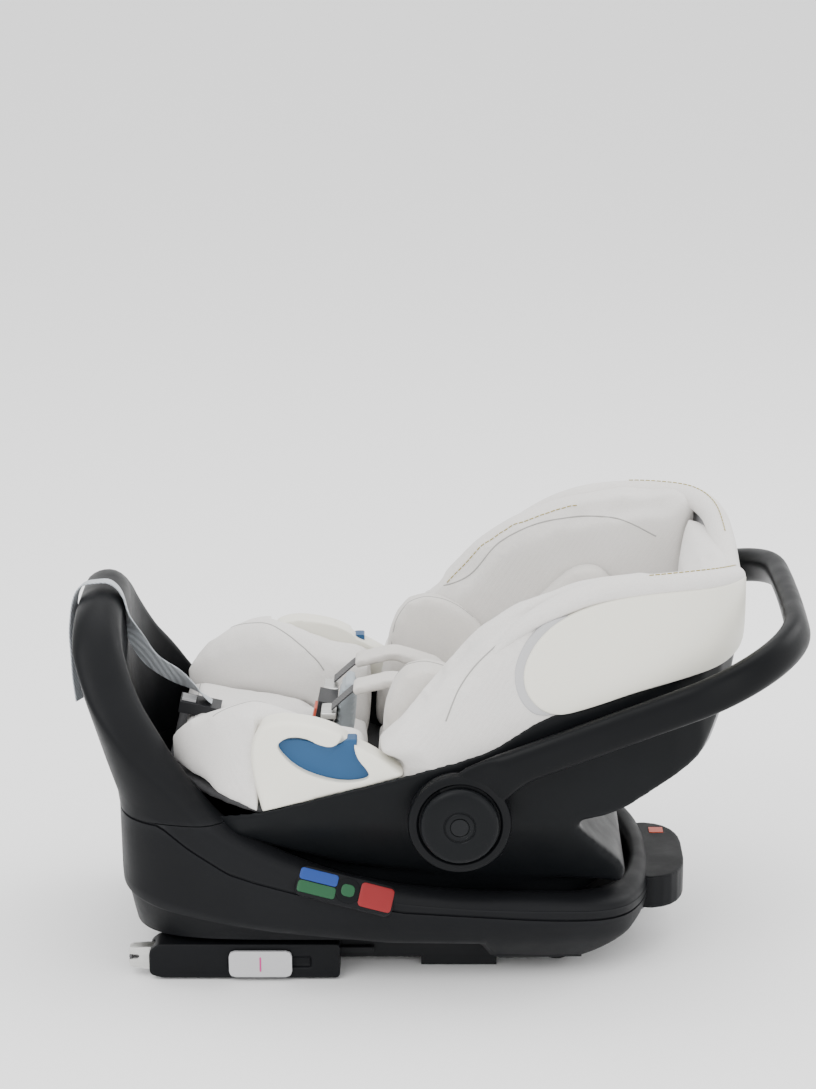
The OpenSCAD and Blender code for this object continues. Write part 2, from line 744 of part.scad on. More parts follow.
module at_buckle() {
    translate([buckle_x, 0, 240]) rotate([0, -buckle_tilt, 0]) children();
}

module crotch_pad() {
    foot = at_x([[-118, pan_top(along(-118)) + soft_gap], [-100, pan_top(along(-100)) + soft_gap]]);
    color("#9aa3aa") side(soft(concat(foot, at_x([[-90, 250], [-88, 282], [-98, 286], [-106, 274],
        [-110, 246]])), 4), -27, 27);
}

module buckle() {
    color("#1a1b1c") at_buckle() difference() {
        block([-26, -24, -10], [22, 24, 10]);
        block([-12, -13 - play, 0], [10, 13 + play, 11]);
    }
}

module buckle_button() {
    color("#d0402f") at_buckle() block([-12 + play, -13, 4.5], [10 - play, 13, 12.5]);
}

// The metal tongues that the shoulder straps end in
module buckle_tongues() {
    color("silver") for (sign = [1, -1]) on_side(sign)
        block([buckle_x - 2, 24 + seat_gap, 255], [buckle_x + 14, strap_y[1], 262 - seat_gap]);
}

strap_width = 25;
strap_thick = 1.6;
strap_y = [34, 34 + strap_width];
strap_line = concat(at_x([[-116, 262], [-92, 284], [-50, 296], [-6, 282], [30, 242]]),
    [for (x = along([68, 98])) [x, insert_top(x) + soft_gap + 0.1]]);

// The two shoulder straps, lying slack from the back to the buckle
module harness_straps() {
    color("#1b1c1e") for (sign = [1, -1]) on_side(sign)
        side(band(strap_line, 0, strap_thick), strap_y[0], strap_y[1]);
}

// A hollow padded sleeve round the strap
module shoulder_pad(sign) {
    line = [for (i = [1:4]) strap_line[i]];
    color("#e4e1d8") on_side(sign) difference() {
        side(band(line, -5, strap_thick + 5), strap_y[0] - 6, strap_y[1] + 6);
        side(band(line, -soft_gap, strap_thick + soft_gap), strap_y[0] - soft_gap, strap_y[1] + soft_gap);
    }
}

module at_plate() {
    translate([along(-256), 0, 252]) rotate([0, 12, 0]) children();
}

// The bezel at the foot end that the adjusting strap comes out of
module adjuster_plate() {
    color("#1c1d1f") at_plate() difference() {
        block([-22, -16, -8], [22, 16, 4]);
        block([-21, -9 - play, -3], [-5, 9 + play, 5]);
    }
}

module adjuster_button() {
    color("#2b2d2f") at_plate() block([-21 + play, -9, -1], [-5 - play, 9, 6]);
}

pull_line = [[along(-242), 256], [along(-262), 268], [along(-284), 282], [base_foot + 17, 322],
    [base_foot + 4, panel_height - 8], [base_foot - 12, panel_height + 5], [base_foot - 42, panel_height + 1],
    [base_foot - 51, panel_height - 40], [base_foot - 49, panel_height - 98], [base_foot - 46, panel_height - 128]];

// The tail of the adjusting strap, laid over the rebound panel
module adjuster_strap() {
    color("#8f989e") side(band(pull_line, -1.8, 0), -12.5, 12.5);
}

// ---- carrier latch --------------------------------------------------------

hook_x = receiver_x[1] + 30;
hook_z = receiver_z + 24;
hook_half = 10;

// The hook that catches the head-side receiver bar
module carrier_hook() {
    claw = [[hook_x - 6, hook_z], [hook_x - 16, receiver_z - 2], [hook_x - 25, receiver_z - 2],
        [hook_x - 25, receiver_z - 7], [hook_x - 10, receiver_z - 9], [hook_x + 6, hook_z]];
    color("silver") difference() {
        union() {
            side(claw, -hook_half, hook_half);
            bar(hook_x, hook_z, 9, -hook_half, hook_half);
        }
        bar(hook_x, hook_z, 3 + bore_play, -hook_half - 1, hook_half + 1);
    }
}

lever_x = along(222);
lever_z = 213;
lever_half = 46;

// The paddle behind the back that releases the carrier
module release_lever() {
    color("#26282a") difference() {
        union() {
            side(at_x([[222, 207], [268, 234], [292, 276], [287.5, 279], [264, 240], [222, 216]]),
                -lever_half, lever_half);
            bar(lever_x, lever_z, 6, -lever_half, lever_half);
        }
        bar(lever_x, lever_z, 3 + bore_play, -lever_half - 1, lever_half + 1);
    }
}

// ---- handle ---------------------------------------------------------------

// The hub axis is the origin here, and +X runs to the crossbar
module in_handle() {
    translate([hub_x, 0, hub_height]) rotate([0, -handle_tilt, 0]) children();
}

function corner(x, y, r, a0, a1, n = 6) = [for (i = [0:n]) let (a = a0 + (a1 - a0) * i / n)
    [x + r * cos(a), y + r * sin(a)]];

// The U of the handle between half-widths, from the hubs to the given reach
function loop_outline(half, reach, r) = concat([[0, -half]], corner(reach - r, -half + r, r, -90, 0),
    corner(reach - r, half - r, r, 0, 90), [[0, half]]);

module handle() {
    color("#222427") difference() {
        union() {
            in_handle() plan(concat(loop_outline(arm_in + arm_thick, handle_outer, handle_corner),
                [for (i = [15:-1:0]) loop_outline(arm_in, handle_inner, handle_corner - arm_thick)[i]]),
                handle_rise - handle_depth / 2, handle_rise + handle_depth / 2);
            for (sign = [1, -1]) on_side(sign) bar(hub_x, hub_height, hub_radius, arm_in, hub_out);
        }
        for (sign = [1, -1]) on_side(sign) {
            bar(hub_x, hub_height, boss_radius + bore_play, arm_in - 1, hub_out + 20);
            bar(hub_x, hub_height, disc_radius + 1, hub_out, hub_out + 20);
        }
    }
}

stem_radius = boss_radius - 3.5 - 0.05;
button_radius = 9;

// The disc that pulls out sideways to meet a side impact first
module impact_disc(sign) {
    color("#17191b") on_side(sign) difference() {
        union() {
            bar(hub_x, hub_height, disc_radius, hub_out + play, hub_out + play + disc_thick);
            bar(hub_x, hub_height, stem_radius, arm_in - 3, hub_out + 1);
        }
        bar(hub_x, hub_height, button_radius + play, hub_out, hub_out + 20);
    }
}

module handle_button(sign) {
    color("#2d3033") on_side(sign)
        bar(hub_x, hub_height, button_radius, hub_out + 5, hub_out + disc_thick);
}

base_shell();
tub_shell();
rebound_panel();
panel_back_cover();
base_tray();
rubber_feet();
receiver_bars();
level_housing();
level_window();
level_ball();
recline_foot();
anchor_arm(-1);  // anchor_arm_left
anchor_arm(1);  // anchor_arm_right
anchor_tip(-1);  // anchor_tip_left
anchor_tip(1);  // anchor_tip_right
anchor_jaw(-1);  // anchor_jaw_left
anchor_jaw(1);  // anchor_jaw_right
anchor_slider(-1);  // anchor_slider_left
anchor_slider(1);  // anchor_slider_right
leg_head();
leg_pin();
leg_lock_window();
leg_outer_tube();
leg_inner_tube();
leg_foot();
leg_button();
carrier_shell();
foam_pan();
hub_sockets();
belt_guide(-1);  // belt_guide_left
belt_guide(1);  // belt_guide_right
belt_pockets();
side_panel(-1);  // side_panel_left
side_panel(1);  // side_panel_right
seat_pad();
side_bolster(-1);  // side_bolster_left
side_bolster(1);  // side_bolster_right
leg_bolster(-1);  // leg_bolster_left
leg_bolster(1);  // leg_bolster_right
foot_pad();
head_pad();
newborn_insert();
headrest();
crotch_pad();
buckle();
buckle_button();
buckle_tongues();
harness_straps();
shoulder_pad(-1);  // shoulder_pad_left
shoulder_pad(1);  // shoulder_pad_right
adjuster_plate();
adjuster_button();
adjuster_strap();
carrier_hook();
release_lever();
handle();
impact_disc(-1);  // impact_disc_left
impact_disc(1);  // impact_disc_right
handle_button(-1);  // handle_button_left
handle_button(1);  // handle_button_right
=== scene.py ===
import bpy, bmesh, json, math
import numpy as np
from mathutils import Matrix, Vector
from mathutils.bvhtree import BVHTree

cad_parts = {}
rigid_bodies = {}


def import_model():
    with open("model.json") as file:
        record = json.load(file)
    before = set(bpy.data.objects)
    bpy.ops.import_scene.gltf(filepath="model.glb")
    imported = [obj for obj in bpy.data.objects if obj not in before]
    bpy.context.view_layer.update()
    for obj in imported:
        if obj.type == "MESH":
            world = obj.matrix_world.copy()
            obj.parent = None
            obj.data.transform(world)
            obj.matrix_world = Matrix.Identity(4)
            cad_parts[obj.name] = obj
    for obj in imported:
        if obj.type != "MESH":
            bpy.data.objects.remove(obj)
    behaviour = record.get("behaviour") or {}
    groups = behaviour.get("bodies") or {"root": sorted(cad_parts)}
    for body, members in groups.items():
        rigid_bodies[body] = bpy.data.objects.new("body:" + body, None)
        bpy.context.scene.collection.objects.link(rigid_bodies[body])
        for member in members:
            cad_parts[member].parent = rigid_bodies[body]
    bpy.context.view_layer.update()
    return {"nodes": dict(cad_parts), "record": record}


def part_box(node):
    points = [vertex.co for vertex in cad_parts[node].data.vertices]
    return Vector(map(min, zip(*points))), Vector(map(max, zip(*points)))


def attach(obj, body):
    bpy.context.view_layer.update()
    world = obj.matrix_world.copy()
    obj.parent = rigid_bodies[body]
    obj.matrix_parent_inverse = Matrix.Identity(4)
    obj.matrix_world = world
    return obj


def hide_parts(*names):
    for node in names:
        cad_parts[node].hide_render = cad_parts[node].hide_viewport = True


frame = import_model()
NODES = frame["nodes"]
RECORD = frame["record"]
BODY_OF = {node: body for body, names in RECORD["behaviour"]["bodies"].items() for node in names}
SLOT_OF = {part["node"]: part["material_slot"] for part in RECORD["subparts"]}
MM = 0.001

# ---------------------------------------------------------------- curves and tables

def smooth_closed(points, rounds=3):
    """Rounds a closed polygon by cutting its corners."""
    p = np.array(points, float)
    for _ in range(rounds):
        q = np.roll(p, -1, axis=0)
        p = np.stack([0.75 * p + 0.25 * q, 0.25 * p + 0.75 * q], 1).reshape(-1, p.shape[1])
    return p


def resample(points, count, closed=False):
    """Points spaced evenly along a polyline."""
    p = np.array(points, float)
    if closed:
        p = np.vstack([p, p[:1]])
    step = np.linalg.norm(np.diff(p, axis=0), axis=1)
    at = np.concatenate([[0], np.cumsum(step)])
    want = np.linspace(0, at[-1], count + 1)[:-1] if closed else np.linspace(0, at[-1], count)
    return np.stack([np.interp(want, at, p[:, i]) for i in range(p.shape[1])], 1)


def spline(points, count, closed=False):
    """An even, smooth curve through the points."""
    p = np.array(points, float)
    n = len(p)
    out = []
    spans = n if closed else n - 1
    for i in range(spans):
        if closed:
            a, b, c, d = p[(i - 1) % n], p[i], p[(i + 1) % n], p[(i + 2) % n]
        else:
            a, b, c, d = p[max(i - 1, 0)], p[i], p[i + 1], p[min(i + 2, n - 1)]
        for t in np.linspace(0, 1, 12, endpoint=False):
            out.append(0.5 * (2 * b + (c - a) * t + (2 * a - 5 * b + 4 * c - d) * t * t
                              + (3 * b - a - 3 * c + d) * t ** 3))
    if not closed:
        out.append(p[-1])
    return resample(out, count, closed)


def table(x, rows):
    """Smooth lookup in rows of (position, value)."""
    xs, ys = zip(*sorted(rows))
    return np.interp(x, xs, ys)


def ease(x):
    x = np.clip(x, 0, 1)
    return x * x * (3 - 2 * x)


# ---------------------------------------------------------------- meshes

def make(name, verts, faces):
    """A smooth mesh object; sizes come in millimetres."""
    mesh = bpy.data.meshes.new(name)
    mesh.from_pydata([tuple(v) for v in np.array(verts, float) * MM], [], faces)
    mesh.update()
    ob = bpy.data.objects.new(name, mesh)
    bpy.context.scene.collection.objects.link(ob)
    bm = bmesh.new()
    bm.from_mesh(mesh)
    bmesh.ops.recalc_face_normals(bm, faces=bm.faces)
    bm.to_mesh(mesh)
    bm.free()
    shade(ob)
    return ob


def shade(ob, angle=38):
    mesh = ob.data
    mesh.polygons.foreach_set("use_smooth", [True] * len(mesh.polygons))
    mesh.set_sharp_from_angle(angle=math.radians(angle))
    mesh.update()


def loft(name, rows, caps=True, closed=True):
    """Joins rows of points, each a ring, with faces."""
    count = len(rows[0])
    verts = np.concatenate(rows)
    faces = []
    last = count if closed else count - 1
    for r in range(len(rows) - 1):
        for i in range(last):
            j = (i + 1) % count
            faces.append((r * count + i, r * count + j, (r + 1) * count + j, (r + 1) * count + i))
    if caps and closed:
        faces.append(tuple(range(count)))
        faces.append(tuple((len(rows) - 1) * count + i for i in range(count)))
    return make(name, verts, faces)


def apply(ob, kind, **settings):
    mod = ob.modifiers.new(kind, kind)
    for key, value in settings.items():
        setattr(mod, key, value)
    bpy.context.view_layer.objects.active = ob
    bpy.ops.object.modifier_apply(modifier=mod.name)


def coords(ob):
    co = np.zeros(len(ob.data.vertices) * 3, np.float32)
    ob.data.vertices.foreach_get("co", co)
    return co.reshape(-1, 3).astype(float)


def normals(ob):
    no = np.zeros(len(ob.data.vertices) * 3, np.float32)
    ob.data.vertices.foreach_get("normal", no)
    return no.reshape(-1, 3).astype(float)


def set_coords(ob, co):
    ob.data.vertices.foreach_set("co", co.astype(np.float32).ravel())
    ob.data.update()


def copy_of(name, *nodes):
    """A new object with the meshes of these CAD nodes."""
    bm = bmesh.new()
    for node in nodes:
        bm.from_mesh(NODES[node].data)
    bmesh.ops.remove_doubles(bm, verts=bm.verts, dist=1e-5)
    mesh = bpy.data.meshes.new(name)
    bm.to_mesh(mesh)
    bm.free()
    ob = bpy.data.objects.new(name, mesh)
    bpy.context.scene.collection.objects.link(ob)
    return ob


def mirrored(ob, name):
    """The same piece on the other side."""
    mesh = ob.data.copy()
    twin = bpy.data.objects.new(name, mesh)
    bpy.context.scene.collection.objects.link(twin)
    co = coords(twin)
    co[:, 1] *= -1
    set_coords(twin, co)
    mesh.flip_normals()
    return twin


def place(ob, slot, body, *nodes):
    """Material, body and the CAD nodes that the piece stands for."""
    ob.data.materials.clear()
    ob.data.materials.append(MATERIAL[slot])
    if nodes:
        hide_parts(*nodes)
    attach(ob, body)
    return ob


def remesh(ob, voxel, rounds=4, factor=0.5):
    apply(ob, "REMESH", mode="VOXEL", voxel_size=voxel)
    if rounds:
        apply(ob, "SMOOTH", factor=factor, iterations=rounds)


def puff(ob, pressure=4.0, cap=0.012, frames=20):
    """Blows a padded piece up with a short cloth simulation."""
    before = coords(ob)
    mod = ob.modifiers.new("Cloth", "CLOTH")
    cloth = mod.settings
    cloth.quality = 4
    cloth.mass = 0.3
    cloth.tension_stiffness = 12
    cloth.compression_stiffness = 12
    cloth.shear_stiffness = 5
    cloth.bending_stiffness = 0.6
    cloth.use_pressure = True
    cloth.uniform_pressure_force = pressure
    cloth.effector_weights.gravity = 0
    mod.collision_settings.use_collision = False
    mod.point_cache.frame_start = 1
    mod.point_cache.frame_end = frames
    scene = bpy.context.scene
    for f in range(1, frames + 1):
        scene.frame_set(f)
    deps = bpy.context.evaluated_depsgraph_get()
    moved = ob.evaluated_get(deps)
    after = np.zeros(len(before) * 3, np.float32)
    moved.data.vertices.foreach_get("co", after)
    after = after.reshape(-1, 3).astype(float)
    ob.modifiers.remove(mod)
    scene.frame_set(1)
    step = after - before
    size = np.linalg.norm(step, axis=1, keepdims=True)
    step *= np.minimum(1, cap / np.maximum(size, 1e-9))
    set_coords(ob, before + step)


def along_path(co, path, axis):
    """Distance of each point to a path seen along an axis, in metres."""
    keep = [i for i in range(3) if i != axis]
    p = np.array(path, float)[:, keep] * MM
    q = co[:, keep]
    best = np.full(len(q), 9.0)
    for a, b in zip(p[:-1], p[1:]):
        d = b - a
        t = np.clip(((q - a) @ d) / max(d @ d, 1e-12), 0, 1)
        best = np.minimum(best, np.linalg.norm(q - (a + t[:, None] * d), axis=1))
    return best


def groove(ob, path, axis=1, side=0, depth=2.5, width=3.0, lip=0.3):
    """Presses a sewn line into the surface; side picks the faces that look that way."""
    co, no = coords(ob), normals(ob)
    dist = along_path(co, path, axis) / MM
    shape = -np.exp(-(dist / width) ** 2) + lip * np.exp(-((dist - 2.6 * width) / (1.4 * width)) ** 2)
    if side:
        shape *= ease((no[:, axis] * side + 0.15) / 0.35)
    set_coords(ob, co + no * (shape * depth * MM)[:, None])


def tree_of(*obs):
    bm = bmesh.new()
    for ob in obs:
        bm.from_mesh(ob.data)
    tree = BVHTree.FromBMesh(bm)
    bm.free()
    return tree


def snap(points, tree, direction, lift=0.0, reach=0.25):
    """Drops points onto a surface along a direction."""
    d = Vector(direction).normalized()
    out = []
    for p in points:
        start = Vector(p) * MM - d * reach
        hit, normal, _, _ = tree.ray_cast(start, d)
        if hit is None:
            hit, normal, _, _ = tree.find_nearest(Vector(p) * MM)
        if normal.dot(d) > 0:
            normal = -normal
        out.append((np.array(hit + normal * lift * MM) / MM, np.array(normal)))
    return out


def tube(name, path, radius, sides=10, flat=1.0, up=None):
    """A round or oval tube with rounded ends along a path; radius may be a list."""
    p = np.array(path, float)
    n = len(p)
    r = np.full(n, radius, float) if np.isscalar(radius) else np.array(radius, float)
    t = np.gradient(p, axis=0)
    t /= np.linalg.norm(t, axis=1, keepdims=True)
    ref = np.array(up if up is not None else (0, 0, 1), float)
    rows = []
    for i in range(n):
        a = np.cross(t[i], ref if np.ndim(ref) == 1 else ref[i])
        if np.linalg.norm(a) < 1e-6:
            a = np.cross(t[i], (0, 1, 0))
        a /= np.linalg.norm(a)
        b = np.cross(a, t[i])
        ang = np.linspace(0, 2 * math.pi, sides, endpoint=False)
        ring = p[i] + r[i] * (np.cos(ang)[:, None] * a + flat * np.sin(ang)[:, None] * b)
        if i == 0:
            rows += [p[i] - t[i] * r[i] * flat * 0.7 + (ring - p[i]) * 0.45]
        rows.append(ring)
        if i == n - 1:
            rows += [p[i] + t[i] * r[i] * flat * 0.7 + (ring - p[i]) * 0.45]
    return loft(name, rows)


def ribbon(name, path, across, width, thick, bulge=0.15):
    """A flat woven strap: its path, the direction across it, and its section."""
    p = np.array(path, float)
    t = np.gradient(p, axis=0)
    t /= np.linalg.norm(t, axis=1, keepdims=True)
    c = np.array(across, float)
    if c.ndim == 1:
        c = np.tile(c, (len(p), 1))
    w, h = width / 2, thick / 2
    section = [(-w, 0), (-w + h, h), (-w * 0.6, h * (1 + bulge)), (0, h * (1 + 2 * bulge)),
               (w * 0.6, h * (1 + bulge)), (w - h, h), (w, 0), (w - h, -h), (0, -h), (-w + h, -h)]
    rows = []
    for i in range(len(p)):
        a = c[i] - t[i] * (c[i] @ t[i])
        a /= np.linalg.norm(a)
        b = np.cross(a, t[i])
        rows.append(np.array([p[i] + a * s + b * u for s, u in section]))
    return loft(name, rows)


# ---------------------------------------------------------------- materials

def shader(name, color, rough):
    mat = bpy.data.materials.new(name)
    mat.use_nodes = True
    nodes, links = mat.node_tree.nodes, mat.node_tree.links
    bsdf = nodes["Principled BSDF"]
    bsdf.inputs["Base Color"].default_value = (*color, 1)
    bsdf.inputs["Roughness"].default_value = rough
    return mat, nodes, links, bsdf


def place_coords(nodes, links, scale=(1, 1, 1)):
    where = nodes.new("ShaderNodeTexCoord")
    mapping = nodes.new("ShaderNodeMapping")
    mapping.inputs["Scale"].default_value = scale
    links.new(where.outputs["Object"], mapping.inputs["Vector"])
    return mapping.outputs["Vector"]


def noise(nodes, links, vector, scale, detail=3.0, rough=0.5):
    tex = nodes.new("ShaderNodeTexNoise")
    tex.inputs["Scale"].default_value = scale
    tex.inputs["Detail"].default_value = detail
    tex.inputs["Roughness"].default_value = rough
    links.new(vector, tex.inputs["Vector"])
    return tex.outputs["Fac"]


def ramp(nodes, links, value, stops):
    node = nodes.new("ShaderNodeValToRGB")
    items = node.color_ramp.elements
    while len(items) < len(stops):
        items.new(0.5)
    for item, (at, color) in zip(items, stops):
        item.position = at
        item.color = (*color, 1) if len(color) == 3 else color
    links.new(value, node.inputs["Fac"])
    return node.outputs["Color"]


def grey(v):
    return (v, v, v)


def shades(color, low, high):
    return tuple(c * low for c in color), tuple(c * high for c in color)


def bump(nodes, links, bsdf, height, strength, distance):
    node = nodes.new("ShaderNodeBump")
    node.inputs["Strength"].default_value = strength
    node.inputs["Distance"].default_value = distance
    links.new(height, node.inputs["Height"])
    links.new(node.outputs["Normal"], bsdf.inputs["Normal"])


def plastic(name, color, rough=0.42, grain=0.18, scale=900, wear=0.0, coat=0.0, spread=0.08):
    """Moulded plastic with a fine spark-eroded grain, a little unevenness and rubbed edges."""
    mat, nodes, links, bsdf = shader(name, color, rough)
    at = place_coords(nodes, links)
    broad = noise(nodes, links, at, 9, 4)
    low, high = shades(color, 1 - spread, 1 + spread)
    base = ramp(nodes, links, broad, [(0.35, low), (0.65, high)])
    if wear:
        geo = nodes.new("ShaderNodeNewGeometry")
        edge = ramp(nodes, links, geo.outputs["Pointiness"], [(0.52, grey(0)), (0.6, grey(wear))])
        mix = nodes.new("ShaderNodeMixRGB")
        links.new(edge, mix.inputs["Fac"])
        links.new(base, mix.inputs["Color1"])
        mix.inputs["Color2"].default_value = (*[min(1, c * 2.2 + 0.02) for c in color], 1)
        base = mix.outputs["Color"]
    links.new(base, bsdf.inputs["Base Color"])
    smear = noise(nodes, links, at, 26, 5, 0.6)
    links.new(ramp(nodes, links, smear, [(0.3, grey(rough - 0.06)), (0.7, grey(rough + 0.08))]),
              bsdf.inputs["Roughness"])
    fine = noise(nodes, links, at, scale, 2)
    bump(nodes, links, bsdf, fine, grain, 0.0004)
    bsdf.inputs["Specular IOR Level"].default_value = 0.1 if max(color) < 0.03 else 0.32
    if coat:
        bsdf.inputs["Coat Weight"].default_value = coat
        bsdf.inputs["Coat Roughness"].default_value = 0.2
    return mat


def fabric(name, color, pitch=1.1, strength=0.35, sheen=0.35, heather=0.06, wrinkle=0.25):
    """Knitted cloth: fine loops in bump, heathered yarn, soft creases and a light sheen."""
    mat, nodes, links, bsdf = shader(name, color, 0.86)
    at = place_coords(nodes, links)
    yarn = noise(nodes, links, place_coords(nodes, links, (1, 1, 2.2)), 420, 3, 0.7)
    patch = noise(nodes, links, at, 14, 4, 0.6)
    low, high = shades(color, 1 - heather, 1 + heather * 0.6)
    tint = ramp(nodes, links, yarn, [(0.3, low), (0.7, high)])
    soil = ramp(nodes, links, patch, [(0.25, grey(0.93)), (0.7, grey(1.0))])
    mix = nodes.new("ShaderNodeMixRGB")
    mix.blend_type = "MULTIPLY"
    mix.inputs["Fac"].default_value = 1.0
    links.new(tint, mix.inputs["Color1"])
    links.new(soil, mix.inputs["Color2"])
    links.new(mix.outputs["Color"], bsdf.inputs["Base Color"])
    total = None
    for turn, size in (((0.5, 0.3, 0.8), 1.0), ((-0.6, 0.5, 0.6), 1.0)):
        wave = nodes.new("ShaderNodeTexWave")
        wave.wave_type = "BANDS"
        wave.bands_direction = "DIAGONAL"
        wave.inputs["Scale"].default_value = 320 / pitch * size
        wave.inputs["Distortion"].default_value = 1.5
        wave.inputs["Detail Scale"].default_value = 3
        spin = nodes.new("ShaderNodeMapping")
        spin.inputs["Rotation"].default_value = turn
        links.new(at, spin.inputs["Vector"])
        links.new(spin.outputs["Vector"], wave.inputs["Vector"])
        if total is None:
            total = wave.outputs["Fac"]
        else:
            add = nodes.new("ShaderNodeMath")
            links.new(total, add.inputs[0])
            links.new(wave.outputs["Fac"], add.inputs[1])
            total = add.outputs[0]
    crease = noise(nodes, links, at, 34, 3, 0.55)
    fold = nodes.new("ShaderNodeMath")
    fold.operation = "MULTIPLY_ADD"
    fold.inputs[1].default_value = wrinkle * 14
    links.new(crease, fold.inputs[0])
    links.new(total, fold.inputs[2])
    bump(nodes, links, bsdf, fold.outputs[0], strength, 0.0005)
    bsdf.inputs["Sheen Weight"].default_value = sheen
    bsdf.inputs["Sheen Roughness"].default_value = 0.45
    bsdf.inputs["Specular IOR Level"].default_value = 0.25
    return mat


def webbing(name, color):
    """Woven strap: diagonal ribs across the weave."""
    mat, nodes, links, bsdf = shader(name, color, 0.7)
    at = place_coords(nodes, links)
    wave = nodes.new("ShaderNodeTexWave")
    wave.bands_direction = "DIAGONAL"
    wave.inputs["Scale"].default_value = 130
    wave.inputs["Distortion"].default_value = 0.8
    links.new(at, wave.inputs["Vector"])
    low, high = shades(color, 0.78, 1.1)
    links.new(ramp(nodes, links, wave.outputs["Fac"], [(0.2, low), (0.8, high)]), bsdf.inputs["Base Color"])
    bump(nodes, links, bsdf, wave.outputs["Fac"], 0.5, 0.0006)
    bsdf.inputs["Sheen Weight"].default_value = 0.2
    return mat


def metal(name, color, rough=0.32):
    mat, nodes, links, bsdf = shader(name, color, rough)
    at = place_coords(nodes, links, (1, 6, 6))
    brushed = noise(nodes, links, at, 220, 4, 0.7)
    links.new(ramp(nodes, links, brushed, [(0.3, grey(rough - 0.08)), (0.7, grey(rough + 0.14))]),
              bsdf.inputs["Roughness"])
    low, high = shades(color, 0.85, 1.08)
    links.new(ramp(nodes, links, noise(nodes, links, at, 30, 5), [(0.3, low), (0.7, high)]),
              bsdf.inputs["Base Color"])
    bump(nodes, links, bsdf, brushed, 0.12, 0.0002)
    bsdf.inputs["Metallic"].default_value = 0.95
    return mat


def clear(name, color):
    mat, nodes, links, bsdf = shader(name, color, 0.08)
    smear = noise(nodes, links, place_coords(nodes, links), 40, 4)
    links.new(ramp(nodes, links, smear, [(0.3, grey(0.05)), (0.7, grey(0.16))]), bsdf.inputs["Roughness"])
    bsdf.inputs["Transmission Weight"].default_value = 0.85
    bsdf.inputs["IOR"].default_value = 1.45
    return mat


BLACK = (0.0042, 0.0048, 0.0056)
MATERIAL = {
    "base_plastic": plastic("base_plastic", (0.0060, 0.0064, 0.0074), 0.44, 0.22, 900, 0.3),
    "tub_plastic": plastic("tub_plastic", (0.0058, 0.0062, 0.0071), 0.42, 0.2, 900, 0.25),
    "shell_plastic": plastic("shell_plastic", BLACK, 0.4, 0.2, 1000, 0.2),
    "handle_plastic": plastic("handle_plastic", (0.0032, 0.0036, 0.0043), 0.36, 0.16, 1000, 0.12),
    "disc_plastic": plastic("disc_plastic", (0.0042, 0.0048, 0.0056), 0.33, 0.12, 1100, 0.25),
    "cream_plastic": plastic("cream_plastic", (0.76, 0.745, 0.66), 0.4, 0.1, 1200, 0, 0.1, 0.015),
    "blue_plastic": plastic("blue_plastic", (0.010, 0.060, 0.150), 0.42, 0.14, 1000, 0, 0.0, 0.06),
    "grey_plastic": plastic("grey_plastic", (0.46, 0.46, 0.47), 0.45, 0.16, 900, 0, 0, 0.04),
    "red_plastic": plastic("red_plastic", (0.62, 0.10, 0.055), 0.4, 0.1, 900, 0, 0.1, 0.05),
    "buckle_plastic": plastic("buckle_plastic", (0.014, 0.0145, 0.016), 0.35, 0.15, 1000, 0.3),
    "level_window": clear("level_window", (0.9, 0.95, 0.95)),
    "level_ball": plastic("level_ball", (0.05, 0.06, 0.05), 0.15, 0.03, 900, 0),
    "seat_fabric": fabric("seat_fabric", (0.72, 0.70, 0.675)),
    "insert_fabric": fabric("insert_fabric", (0.62, 0.595, 0.56), 0.9, 0.3),
    "grey_pad": fabric("grey_pad", (0.33, 0.37, 0.40), 0.8, 0.4, 0.25),
    "black_webbing": webbing("black_webbing", (0.018, 0.018, 0.02)),
    "grey_webbing": webbing("grey_webbing", (0.40, 0.43, 0.46)),
    "foam": fabric("foam", (0.05, 0.05, 0.052), 0.6, 0.5, 0.0, 0.2),
    "steel": metal("steel", (0.62, 0.62, 0.60)),
    "dark_steel": metal("dark_steel", (0.13, 0.13, 0.135), 0.4),
    "leg_tube": metal("leg_tube", (0.20, 0.20, 0.21), 0.38),
    "leg_inner": metal("leg_inner", (0.5, 0.5, 0.5), 0.3),
    "rubber": plastic("rubber", (0.02, 0.02, 0.021), 0.75, 0.4, 500, 0),
}

for node, ob in NODES.items():
    ob.data.materials.clear()
    ob.data.materials.append(MATERIAL["disc_plastic" if node.startswith("handle_button") else SLOT_OF[node]])

# ---------------------------------------------------------------- vehicle base

PLAN = [(-336, 0), (-336, 120), (-316, 168), (-262, 189), (-160, 192), (20, 192), (120, 190), (186, 172),
        (214, 122), (226, 46), (226, 0)]
TUB = [(-318, 0), (-318, 92), (-290, 134), (-238, 151), (-150, 153), (20, 152), (96, 150), (158, 128),
       (184, 92), (199, 30), (199, 0)]
CREST = [(-318, 288), (-300, 262), (-280, 232), (-262, 209), (-235, 185), (-205, 167), (-161, 146),
         (-103, 126), (-37, 113), (28, 107), (120, 104), (198, 97), (226, 92)]
PANEL_TOP = [(0, 388), (60, 387), (90, 378), (115, 358), (135, 332), (152, 306), (165, 288)]
SEAM = [(-336, 183), (-288, 181), (-260, 159), (-218, 132), (-189, 122), (-145, 110), (-37, 90), (61, 83),
        (226, 70)]
SKIRT = [(-336, 99), (-290, 87), (-169, 63), (-50, 49), (48, 47), (64, 21), (150, 21), (196, 43), (226, 65)]
NARROW = [(10, 56), (30, 34), (50, 15), (70, 5), (90, 0), (400, 0)]
FOOT_X, FOOT_FADE = -300, -262


def both(half):
    return half + [(x, -y) for x, y in half[-2:0:-1]]


def plan_ring(half, count=200):
    ring = smooth_closed(both(half), 3)
    at = np.argmin(np.hypot(ring[:, 0] - half[0][0], ring[:, 1]))
    return resample(np.roll(ring, -at, axis=0), count, closed=True)


